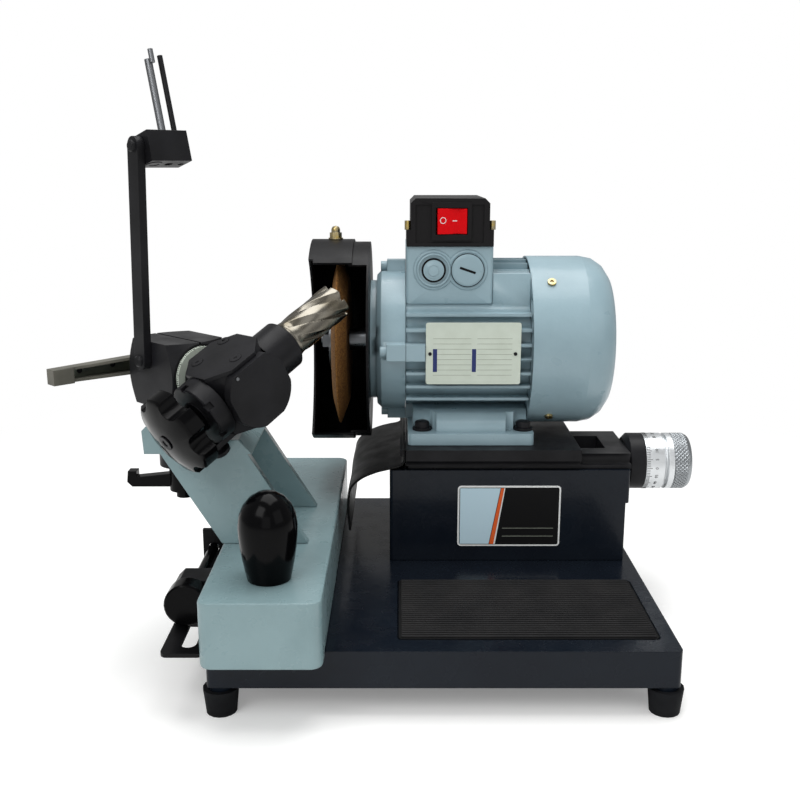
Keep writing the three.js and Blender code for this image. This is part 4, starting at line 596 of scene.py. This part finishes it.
def cutter_piece():
    around, steps = 288, 80
    radius, bore, shank = 15.0, 10.6, 9.5
    start, shoulder, neck, tip, bore_depth = 6.0, 53.3, 4.0, 112.0, 48
    flutes, depth, lead, share, gullet = 6, 2.6, 190.0, 0.45, 3.2
    first = shoulder + neck

    def phase(angle, y):
        return (angle / (2 * math.pi) * flutes + (y - first) * flutes / lead) % 1.0

    def land(angle, y):
        p = phase(angle, y) / share
        if p >= 1.0:
            return radius - 0.5 * (p - 1.0)
        return radius - depth * min(1.0, p * 9.0) * (1.0 - p) ** 0.8

    def tooth(angle):
        p = phase(angle, tip)
        return tip - gullet * (1 - p / share) if p < share else tip - gullet * (p - share) / 3

    rings = [(lambda a: shank, lambda a: start), (lambda a: shank, lambda a: shoulder),
             (lambda a: radius - depth / 2, lambda a: shoulder), (lambda a: radius, lambda a: shoulder + depth)]
    for i in range(steps):
        y = first + (tip - gullet - first) * i / (steps - 1)
        deep = min(1.0, i / 8)
        rings.append((lambda a, y=y, deep=deep: radius + (land(a, y) - radius) * deep, lambda a, y=y: y))
    rings.append((lambda a: land(a, tip), tooth))
    rings.append((lambda a: bore, lambda a: tooth(a) - gullet / 3))
    rings.append((lambda a: bore, lambda a: tip - bore_depth))
    work = bmesh.new()
    made = []
    for radius_at, height_at in rings:
        made.append([work.verts.new((radius_at(a) * math.cos(a), height_at(a), radius_at(a) * math.sin(a)))
                     for a in full_turn(around)])
    skin(work, made)
    piece = finish_piece("fluted_cutter", to_mesh(work, TILT), "spindle", CUTTER_STEEL, 28.0)
    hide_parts("annular_cutter")


cutter_piece()


# Feed knob with its diamond knurl, and the dial with its lines and numbers

dial_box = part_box("feed_dial")
DIAL_LEFT = (dial_box[0].x - BASE.translation.x) / MM
KNOB_LEFT, KNOB_RIGHT = [(corner.x - BASE.translation.x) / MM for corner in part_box("feed_knob")]
DIAL_RADIUS = (dial_box[1].z - dial_box[0].z) / 2 / MM


def knurled_knob():
    """Two crossed sets of grooves, drawn coarser than a real knurl so that they show."""
    around, steps, teeth, rise = 400, 50, 44, 0.8
    left, right, edge, plain = KNOB_LEFT, KNOB_RIGHT, 4.0, 0.5
    radius = DIAL_RADIUS
    work = bmesh.new()
    rings = []

    def ring(radius_at, height):
        rings.append([work.verts.new((radius_at(a) * math.cos(a), radius_at(a) * math.sin(a), height))
                      for a in full_turn(around)])

    ring(lambda a: radius - 7, left)
    ring(lambda a: radius - rise, left)
    pitch = 2 * math.pi * radius / teeth
    for i in range(steps + 1):
        x = left + plain + (right - edge - left - plain) * i / steps

        def height(a, x=x):
            u = a * teeth / (2 * math.pi)
            v = (x - left) / pitch
            ridge = min(abs((u + v) % 1 - 0.5), abs((u - v) % 1 - 0.5)) * 2
            return radius - rise + rise * min(1.0, ridge * 1.4)

        ring(height, x)
    for i in range(1, 9):
        a = i / 8 * math.pi / 2
        ring(lambda _, a=a: radius - rise - edge + edge * math.cos(a), right - edge + edge * math.sin(a))
    ring(lambda a: 2.5, right)
    skin(work, rings)
    piece = finish_piece("knurled_knob", to_mesh(work, FEED), "feed", KNOB_STEEL, 25.0)
    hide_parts("feed_knob")


knurled_knob()
smooth_copy("feed_dial", DIAL_STEEL)


def tick_tree():
    """Lines round a ring, of which every fifth is longer."""
    sizes = (("Radius", 0.02), ("Line Length", 0.003), ("Line Width", 0.0003))
    tree, given = start_tree("ring_lines", sizes, (("Count", 100),))
    points = node(tree, "GeometryNodeMeshCircle", links={"Vertices": given["Count"], "Radius": given["Radius"]})
    size = node(tree, "ShaderNodeCombineXYZ", {"X": 0.0002}, {"Y": given["Line Width"], "Z": given["Line Length"]})
    line = node(tree, "GeometryNodeMeshCube", links={"Size": size.outputs[0]})
    half = node(tree, "ShaderNodeMath", {"operation": "MULTIPLY", 1: 0.5}, {0: given["Line Length"]})
    up = node(tree, "ShaderNodeCombineXYZ", links={"Z": half.outputs[0]})
    raised = node(tree, "GeometryNodeTransform", links={
        "Geometry": line.outputs["Mesh"], "Translation": up.outputs[0]})
    index = node(tree, "GeometryNodeInputIndex")
    fifth = node(tree, "ShaderNodeMath", {"operation": "MODULO", 1: 5.0}, {0: index.outputs[0]})
    is_fifth = node(tree, "ShaderNodeMath", {"operation": "LESS_THAN", 1: 0.5}, {0: fifth.outputs[0]})
    length = node(tree, "ShaderNodeMath", {"operation": "MULTIPLY_ADD", 1: 0.6, 2: 1.0}, {0: is_fifth.outputs[0]})
    scale = node(tree, "ShaderNodeCombineXYZ", {"X": 1.0, "Y": 1.0}, {"Z": length.outputs[0]})
    place = node(tree, "GeometryNodeInputPosition")
    facing = node(tree, "FunctionNodeAlignRotationToVector", {"axis": "X"}, {"Vector": place.outputs[0]})
    placed = node(tree, "GeometryNodeInstanceOnPoints", links={
        "Points": points.outputs[0], "Instance": raised.outputs[0], "Rotation": facing.outputs[0],
        "Scale": scale.outputs[0]})
    return end_tree(tree, given, placed)


TICK_TREE = tick_tree()


def ring_lines(name, place, radius, count, length, width, body, material):
    """Filled lines that stand along the local Z axis on a round face."""
    mesh = run_tree(TICK_TREE, bpy.data.meshes.new("empty"), {
        "Radius": radius * MM, "Count": count, "Line Length": length * MM, "Line Width": width * MM,
        "Finish": material})
    mesh.transform(place @ Matrix.Scale(1 / MM, 4))
    return finish_piece(name, mesh, body, None, smooth=False)


def dial_numbers():
    """Plain numbers that lie on their sides round the dial, bent on to its face."""
    meshes = []
    count, step, size, middle_line = 20, 5, 3.7, 9.2
    for i in range(count):
        text = bpy.data.curves.new("number", "FONT")
        text.body = str(i * step)
        text.size = size
        text.align_x = "CENTER"
        text.align_y = "CENTER"
        text.extrude = 0.06
        carrier = bpy.data.objects.new("number", text)
        bpy.context.scene.collection.objects.link(carrier)
        mesh = bpy.data.meshes.new_from_object(carrier.evaluated_get(bpy.context.evaluated_depsgraph_get()))
        bpy.data.objects.remove(carrier)
        middle = -math.pi / 2 - 2 * math.pi * i / count
        for vertex in mesh.vertices:
            x, y, z = vertex.co
            angle = middle - x / DIAL_RADIUS
            reach = DIAL_RADIUS + 0.02 + z
            vertex.co = (reach * math.cos(angle), reach * math.sin(angle), DIAL_LEFT + middle_line - y)
        mesh.transform(FEED)
        work = bmesh.new()
        work.from_mesh(mesh)
        bmesh.ops.recalc_face_normals(work, faces=work.faces)
        meshes.append(to_mesh(work))
    joined("dial_numbers", meshes, "feed", BLACK_PRINT_AND_PAINTED_SHADE)


ring_lines("dial_lines", FEED @ Matrix.Translation((0, 0, DIAL_LEFT + 0.4)), DIAL_RADIUS, 100, 3.0, 0.34, "feed",
           BLACK_PRINT_AND_PAINTED_SHADE)
dial_numbers()
ring_lines("tilt_scale", HEAD @ Matrix.Translation((32.9, 0, 0)) @ Matrix.Rotation(math.radians(90), 4, "Y"),
           23.3, 90, 1.6, 0.5, "head", BLACK_PRINT_AND_PAINTED_SHADE)


# Ribbed mat in the parts tray

def mat_ribs():
    """Round ribs side by side on the mat, half sunk in it."""
    sizes = (("Rib Length", 0.18), ("Rib Width", 0.0011), ("Span", 0.1))
    tree, given = start_tree("mat_ribs", sizes, (("Count", 50),))
    half = node(tree, "ShaderNodeMath", {"operation": "MULTIPLY", 1: -0.5}, {0: given["Span"]})
    less = node(tree, "ShaderNodeMath", {"operation": "SUBTRACT", 1: 1.0}, {0: given["Count"]})
    pitch = node(tree, "ShaderNodeMath", {"operation": "DIVIDE"}, {0: given["Span"], 1: less.outputs[0]})
    start = node(tree, "ShaderNodeCombineXYZ", links={"Y": half.outputs[0]})
    step = node(tree, "ShaderNodeCombineXYZ", links={"Y": pitch.outputs[0]})
    row = node(tree, "GeometryNodeMeshLine", {"mode": "OFFSET"}, {
        "Count": given["Count"], "Start Location": start.outputs[0], "Offset": step.outputs[0]})
    reach = node(tree, "ShaderNodeMath", {"operation": "MULTIPLY", 1: 0.5}, {0: given["Rib Length"]})
    back = node(tree, "ShaderNodeMath", {"operation": "MULTIPLY", 1: -1.0}, {0: reach.outputs[0]})
    end = node(tree, "ShaderNodeCombineXYZ", links={"X": reach.outputs[0]})
    begin = node(tree, "ShaderNodeCombineXYZ", links={"X": back.outputs[0]})
    line = node(tree, "GeometryNodeCurvePrimitiveLine", links={"Start": begin.outputs[0], "End": end.outputs[0]})
    thick = node(tree, "ShaderNodeMath", {"operation": "MULTIPLY", 1: 0.5}, {0: given["Rib Width"]})
    section = node(tree, "GeometryNodeCurvePrimitiveCircle", {"Resolution": 12}, {"Radius": thick.outputs[0]})
    bar = node(tree, "GeometryNodeCurveToMesh", {"Fill Caps": True}, {
        "Curve": line.outputs[0], "Profile Curve": section.outputs[0]})
    placed = node(tree, "GeometryNodeInstanceOnPoints", links={"Points": row.outputs[0], "Instance": bar.outputs[0]})
    end_tree(tree, given, placed)
    lowest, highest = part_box("tray_mat")
    size = highest - lowest
    # The ribs take the lighter copy of the rubber, a painted highlight over the painted groove shade of the mat
    mesh = run_tree(tree, bpy.data.meshes.new("empty"), {
        "Rib Length": size.x - 4 * MM, "Rib Width": 2.2 * MM, "Span": size.y - 5 * MM, "Count": 29,
        "Finish": RIB_RUBBER_WITH_PAINTED_HIGHLIGHT})
    middle = (lowest + highest) / 2
    mesh.transform(Matrix.Translation((middle.x, middle.y, highest.z + 0.4 * MM)))
    finish_piece("mat_ribs", mesh, "base", None, 60.0)


mat_ribs()


# Plates, printed fields and small hardware

def riser_label():
    """A bare printed label: white edge, pale field, slanted stripe, black field with two thin rules."""
    plate = prism(round_corners(18, 105.4, 63.7, 117.6, 3), 0, 1.0, front(0.1), 0.15)
    black_field = prism(round_corners(19.4, 104, 65.1, 116.2, 1.6), 0, 0.05, front(-0.9))
    joined("riser_label", [plate], "base", WHITE_INK)
    joined("riser_label_line", [black_field], "base", BLACK_PRINT_AND_PAINTED_SHADE)
    pale = [(20, 65.7), (44.8, 65.7), (54.2, 115.6), (20, 115.6)]
    stripe = [(45.3, 65.7), (48.8, 65.7), (57.2, 115.6), (54.7, 115.6)]
    line = [(48.9, 65.7), (50.2, 65.7), (58.1, 115.6), (57.3, 115.6)]
    fields = (("riser_label_field", pale, PALE_INK), ("riser_label_stripe", stripe, ORANGE_INK),
              ("riser_label_edge", line, WHITE_INK))
    for name, points, ink_used in fields:
        joined(name, [prism(points, 0, 0.1, front(-0.9))], "base", ink_used)
    rules = [block(56.1, 99.7, -1.05, -0.9, z, z + 0.4, bevel=0.05) for z in (72.5, 79.7)]
    joined("riser_label_rules", rules, "base", GREY_INK)


def motor_plate():
    """A bare cream plate with blue bars and thin rules, held by two dark rivets."""
    plate = prism(round_corners(-9.6, 69.3, 203.4, 255.3, 2), 0, 0.9, front(9.9), 0.15)
    joined("motor_plate", [plate], "slide", CREAM)
    bars = [block(x, x + 3.5, 8.85, 9.05, 213.9, 233.3, bevel=0.05) for x in (-3.7, 28.7)]
    joined("motor_plate_bars", bars, "slide", BLUE_INK)
    rules = []
    for i in range(8):
        z = 211 + 4.4 * i
        rules += [block(x0, x1, 8.9, 9.05, z, z + 0.3, bevel=0.04) for x0, x1 in ((-3.5, 28), (33, 62))]
    joined("motor_plate_rules", rules, "slide", GREY_INK)
    rivets = [spot(BASE, (x, 9.0, 229.2), (0, -1, 0)) for x in (-6.1, 64.8)]
    screws("motor_plate_rivets", rivets, "slide", BLACKENED, 1.5, 0.8)


def motor_hardware():
    """Foot bolts with flanged heads, end shield bolts, cowl screws, switch screws and the guard's stud and nut."""
    foot = [(x, y) for x in (-12, 75) for y in (26, 130)]
    flanges = [spot(BASE, (x, y, 160.0), (0, 0, 1)) for x, y in foot]
    screws("foot_bolt_flanges", flanges, "slide", BLACKENED, 8.2, 2.2)
    crown = [(0, 0), (6.2, 0), (6.2, 4.2), (5.6, 5.4), (4.4, 6), (0, 6.2)]
    heads = [lathe(crown, BASE @ Matrix.Translation((x, y, 162)), 48) for x, y in foot]
    joined("foot_bolt_heads", heads, "slide", BLACKENED)
    lug_reach = 65
    lugs = [spot(MOTOR, (lug_reach * math.cos(a), lug_reach * math.sin(a), -42.3), (0, 0, -1)) for a in full_turn(4)]
    screws("shield_bolts", lugs, "slide", MOTOR_GREY, 4.6, 5.5, 2.4, 2.4)
    cowl = []
    cowl_radius = 73.7
    for angle, x in ((49, 96), (-54, 98), (-176, 97)):
        a = math.radians(angle)
        out = (0, -math.cos(a), math.sin(a))
        cowl.append(spot(BASE, (x, 78 + cowl_radius * out[1], 230 + cowl_radius * out[2]), out))
    screws("cowl_screws", cowl, "slide", ZINC, 3.6, 2.2, 2.0, 1.2, recess_sides=4)
    switch = [spot(BASE, (x, 33, 329.6), (0, 0, 1)) for x in (-24.6, 45.8)]
    screws("switch_screws", switch, "slide", ZINC, 2.6, 7.4, 1.4, 1.6)
    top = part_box("guard_cover")[1].z / MM
    stud = BASE @ Matrix.Translation((-87.2, 78, top - 0.1))
    washer = disc(6.4, 0, 1.1, stud)
    tip = lathe([(0, 5.6), (3.9, 5.6), (3.9, 8), (3.5, 9.6), (2.4, 10.9), (0, 11.5)], stud, 48)
    screws("guard_nut", [spot(stud, (0, 0, 1.1), (0, 0, 1))], "slide", ZINC, 5.3, 4.6, sides=6)
    joined("guard_stud", [washer, tip], "slide", ZINC)


def glands():
    """The plugged opening and the blanking cap: soft rims and a bevelled face, with painted shade for the groove, the
    gap round the cap and the slot.
    """
    plug, cap = front(28, -2.9, 296.4), front(28, 25.4, 296.4)
    rims = [ring_bead(15.2, 1.9, place, -3.2) for place in (plug, cap)]
    rims.append(ring_bead(13.2, 0.9, plug, -0.3))
    joined("gland_rims", rims, "slide", MOTOR_GREY, 60.0)
    face = [(0, 1.3), (3.4, 1.2), (6.6, 0.6), (7.8, -0.2), (7.8, -0.6), (0, -0.6)]
    joined("gland_plug", [lathe(face, plug), ring_bead(4.5, 0.5, plug, 0.9)], "slide", MOTOR_GREY)
    bevel = [(0, -0.4), (13.4, -0.4), (13.4, 0.2), (12.2, 0.9), (10.6, 1.2), (0, 1.2)]
    joined("gland_cap", [lathe(bevel, cap)], "slide", MOTOR_GREY)
    # Dark rings and a dark bar of painted shade, standing for the groove, the gap round the cap and the cap's slot
    grooves = [band(8.6, 10.2, -0.4, 0.06, plug), band(13.4, 14.0, -0.4, 0.05, cap)]
    slot = prism(round_corners(-7, 7, -1.0, 1.0, 0.5), 1.1, 1.26, cap @ Matrix.Rotation(math.radians(-19), 4, "Z"))
    joined("gland_shadow_lines", grooves + [slot], "slide", BLACK_PRINT_AND_PAINTED_SHADE)


def head_hardware():
    """Countersunk screws of the cover plate, the nose, knob and gauge block screws, and the worn lever's channel."""
    places = [(-17, 16), (-16, -12), (16, 1)]
    plate = [spot(TILT, (x, y, 25.9), (0, 0, 1)) for x, y in places]
    screws("plate_screws", plate, "tilt", BLACKENED, 4.4, 0.4, 1.6, 0.3)
    # Thin dark rings of painted shade in the gaps round the countersunk heads
    rings = [band(4.5, 4.9, 0, 0.15, TILT @ Matrix.Translation((x, y, 26))) for x, y in places]
    joined("plate_screw_gap_painted_shade", rings, "tilt", BLACK_PRINT_AND_PAINTED_SHADE)
    screws("nose_screw", [spot(TILT, (30.9, -13, 20), (1, 0, 0))], "tilt", POST_STEEL, 1.3, 0.6)
    screws("knob_screw", [spot(SPINDLE, (0, 0, -70.8), (0, 0, -1))], "spindle", BLACKENED, 6.0, 0.8, 3.0, 0.7)
    socket = GAUGE @ Matrix.Translation((3, -19, -14.4)) @ Matrix.Rotation(math.pi, 4, "X")
    screws("gauge_block_screw", [spot(socket, (0, 0, 0), (0, 0, 1))], BODY_OF["gauge_block"], BLACKENED, 6.2, 0.35,
           4.2, 0.3)
    # The lever's side: a drawing plane whose own X and Y are the head's Y and Z
    side = HEAD @ Matrix(((0, 0, 1, -49.2), (1, 0, 0, 0), (0, 1, 0, 0), (0, 0, 0, 1)))
    channel = prism([(-68, -3.6), (-13, -5), (-13, 5), (-68, 3.6)], 0, 0.35, side)
    # The two holes in the channel are dark discs of painted shade
    holes = [disc(2.3, 0.3, 0.45, side @ Matrix.Translation((y, z, 0)), 32) for y, z in ((-60, 1), (-31, 2))]
    joined("lever_channel_floor", [channel], "big_lever", WORN_STEEL)
    joined("lever_channel_hole_painted_shade", holes, "big_lever", BLACK_PRINT_AND_PAINTED_SHADE)


riser_label()
motor_plate()
motor_hardware()
glands()
head_hardware()


# Rocker: two faces that meet off the middle, with the marks on the longer one

def rocker():
    outline = [(-12.2, -4.5), (5.4, -1.5), (12.2, -4.5), (12.2, 0), (0, 4.5), (-12.2, 0)]
    piece = finish_piece("two_faced_rocker", prism(outline, -10.45, 10.45, ROCKER, 0.4), "rocker", RED_ABS, 20.0)
    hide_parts("rocker_button")
    face = ROCKER @ Matrix.Translation((-12.2, -4.5, 0)) @ Matrix.Rotation(math.radians(9.67), 4, "Z")
    upright = face @ Matrix.Rotation(math.radians(90), 4, "X")
    ring = band(2.15, 2.7, -0.1, 0.08, upright @ Matrix.Translation((4.5, 0.8, 0)), 40)
    dash = prism(round_corners(12.7, 16.6, 0.0, 0.75, 0.3), -0.1, 0.08, upright)
    joined("rocker_marks", [ring, dash], "rocker", WHITE_INK)


rocker()


# Rubber cover: a thin sheet bent down beside the riser, its edges rounded and its free end a little wavy.
# It hangs clear of the swing arm at the end of the arm's swing.

CLAMP_X, SHEET_TOP, BEND_TOP = -27.3, 149.4, 140
SHEET_REACH, SHEET_DROP = 54.5, 61.8
REACH_SHARES = (0, 0.035, 0.114, 0.251, 0.453, 0.67, 0.822, 0.868, 0.852)
DROP_SHARES = (0, 0.054, 0.093, 0.118, 0.166, 0.257, 0.393, 0.623, 1)


def sheet_line(steps=14):
    """The sheet's middle line from the clamp to its free end: a centripetal curve through its points."""
    points = [Vector((CLAMP_X, SHEET_TOP))]
    for out, down in zip(REACH_SHARES, DROP_SHARES):
        points.append(Vector((CLAMP_X - out * SHEET_REACH, BEND_TOP - down * SHEET_DROP)))
    points = [2 * points[0] - points[1]] + points + [2 * points[-1] - points[-2]]
    line = []
    for a, b, c, d in zip(points, points[1:], points[2:], points[3:]):
        knots = [0.0]
        for p, q in ((a, b), (b, c), (c, d)):
            knots.append(knots[-1] + math.sqrt((q - p).length))
        t0, t1, t2, t3 = knots
        for i in range(steps):
            t = t1 + (t2 - t1) * i / steps
            one = a * ((t1 - t) / (t1 - t0)) + b * ((t - t0) / (t1 - t0))
            two = b * ((t2 - t) / (t2 - t1)) + c * ((t - t1) / (t2 - t1))
            three = c * ((t3 - t) / (t3 - t2)) + d * ((t - t2) / (t3 - t2))
            four = one * ((t2 - t) / (t2 - t0)) + two * ((t - t0) / (t2 - t0))
            five = two * ((t3 - t) / (t3 - t1)) + three * ((t - t1) / (t3 - t1))
            line.append(four * ((t2 - t) / (t2 - t1)) + five * ((t - t1) / (t2 - t1)))
    line.append(points[-2])
    return line


def rubber_sheet():
    """Rows across the sheet, each with its half thickness, which falls off at the two rounded edges."""
    line = sheet_line()
    front_edge, back_edge = [(-2, 0.4), (-1.7, 0.8), (-1.1, 1.0)], [(149.1, 1.0), (149.7, 0.8), (150, 0.4)]
    rows = front_edge + [(y, 1.0) for y in range(3, 148, 6)] + back_edge
    table_side = -26.3
    work = bmesh.new()
    sides = []
    for sign in (1, -1):
        grid = []
        for y, half in rows:
            row = []
            for i, point in enumerate(line):
                before, after = line[max(i - 1, 0)], line[min(i + 1, len(line) - 1)]
                along = (after - before).normalized()
                free = max(0.0, i / len(line) - 0.45)
                wave = -free * 0.9 * (1 + math.sin(y * 0.07 + 0.8)) * math.sin(i * 0.05)
                out = point + Vector((along.y, -along.x)) * (sign * half + wave)
                row.append(work.verts.new((min(out.x, table_side), y, out.y)))
            grid.append(row)
        sides.append(grid)
    upper, lower = sides
    for grid in sides:
        for a, b in zip(grid, grid[1:]):
            for i in range(len(line) - 1):
                work.faces.new((a[i], a[i + 1], b[i + 1], b[i]))
    edges = [(upper[0], lower[0]), (upper[-1], lower[-1])]
    edges += [([row[end] for row in upper], [row[end] for row in lower]) for end in (0, -1)]
    for a, b in edges:
        for i in range(len(a) - 1):
            work.faces.new((a[i], a[i + 1], b[i + 1], b[i]))
    bmesh.ops.recalc_face_normals(work, faces=work.faces)
    piece = finish_piece("rubber_sheet", to_mesh(work, BASE), None, SHEET_RUBBER, 50.0)
    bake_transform(piece)
    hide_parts("dust_cover")


rubber_sheet()


# Floor, lamps and world: each lamp's name, place, width in metres and power in watts

LAMPS = (
    ("key", (-0.9, -1.5, 1.7), 1.2, 19),
    ("fill", (1.5, -1.2, 1.0), 1.3, 4),
    ("top", (0.1, 0.2, 1.9), 1.5, 30),
    ("front", (0.0, -2.2, 0.7), 1.2, 3),
)
AIMED_AT = Vector((0, 0, 0.2))
WORLD_LIGHT, WORLD_MIRROR, FLOOR_GLOW = 0.38, 0.4, 0.2
FLOOR_HALF, WHITENS_FROM, WHITE_AT = 6.0, 0.34, 0.85


def lay_floor():
    """A pale floor that keeps the machine's shadow."""
    work = bmesh.new()
    bmesh.ops.create_grid(work, x_segments=1, y_segments=1, size=FLOOR_HALF)
    mesh = to_mesh(work)
    material, tree, shader, where = start_material("pale_floor", "#f6f6f5", 0.6)
    tree.links.new(mottled(tree, where, 3, 2, (0.3, 0.7), ("#f8f8f7", "#f4f4f3")), shader.inputs["Base Color"])
    # Seen by the camera, the floor glows a little near the machine and turns white further out, so no horizon shows
    seen = node(tree, "ShaderNodeLightPath").outputs["Is Camera Ray"]
    distance = node(tree, "ShaderNodeVectorMath", {"operation": "LENGTH"}, {0: where})
    far = node(tree, "ShaderNodeMapRange", {"interpolation_type": "SMOOTHSTEP", "From Min": WHITENS_FROM,
                                            "From Max": WHITE_AT, "To Min": 0.0, "To Max": 1.0},
               {"Value": distance.outputs["Value"]})
    share = node(tree, "ShaderNodeMath", {"operation": "MULTIPLY"}, {0: far.outputs[0], 1: seen})
    glow = node(tree, "ShaderNodeMath", {"operation": "MULTIPLY", 1: FLOOR_GLOW}, {0: seen})
    tree.links.new(glow.outputs[0], shader.inputs["Emission Strength"])
    shader.inputs["Emission Color"].default_value = (1, 1, 1, 1)
    white = node(tree, "ShaderNodeEmission", {"Color": (1, 1, 1, 1), "Strength": 1.0})
    mixed = node(tree, "ShaderNodeMixShader", links={0: share.outputs[0], 1: shader.outputs[0], 2: white.outputs[0]})
    output = [item for item in tree.nodes if item.bl_idname == "ShaderNodeOutputMaterial"][0]
    tree.links.new(mixed.outputs[0], output.inputs["Surface"])
    mesh.materials.append(material)
    floor = bpy.data.objects.new("floor", mesh)
    bpy.context.scene.collection.objects.link(floor)


def hang_lamps():
    """Wide soft lamps, all aimed at the middle of the machine."""
    for name, place, size, power in LAMPS:
        data = bpy.data.lights.new(name, "AREA")
        data.size = size
        data.energy = power
        lamp = bpy.data.objects.new(name, data)
        lamp.location = place
        lamp.rotation_euler = (AIMED_AT - Vector(place)).to_track_quat("-Z", "Y").to_euler()
        bpy.context.scene.collection.objects.link(lamp)


def light_world():
    """Plain white all round, full strength only where the camera sees it."""
    world = bpy.data.worlds.new("studio")
    bpy.context.scene.world = world
    world.use_nodes = True
    tree = world.node_tree
    tree.nodes.clear()
    path = node(tree, "ShaderNodeLightPath").outputs
    camera = node(tree, "ShaderNodeMath", {"operation": "MULTIPLY_ADD", 1: 1.0 - WORLD_LIGHT, 2: WORLD_LIGHT},
                  {0: path["Is Camera Ray"]})
    strength = node(tree, "ShaderNodeMath", {"operation": "MULTIPLY_ADD", 1: WORLD_MIRROR - WORLD_LIGHT},
                    {0: path["Is Glossy Ray"], 2: camera.outputs[0]})
    back = node(tree, "ShaderNodeBackground", {"Color": (1, 1, 1, 1)}, {"Strength": strength.outputs[0]})
    node(tree, "ShaderNodeOutputWorld", links={"Surface": back.outputs[0]})


lay_floor()
hang_lamps()
light_world()
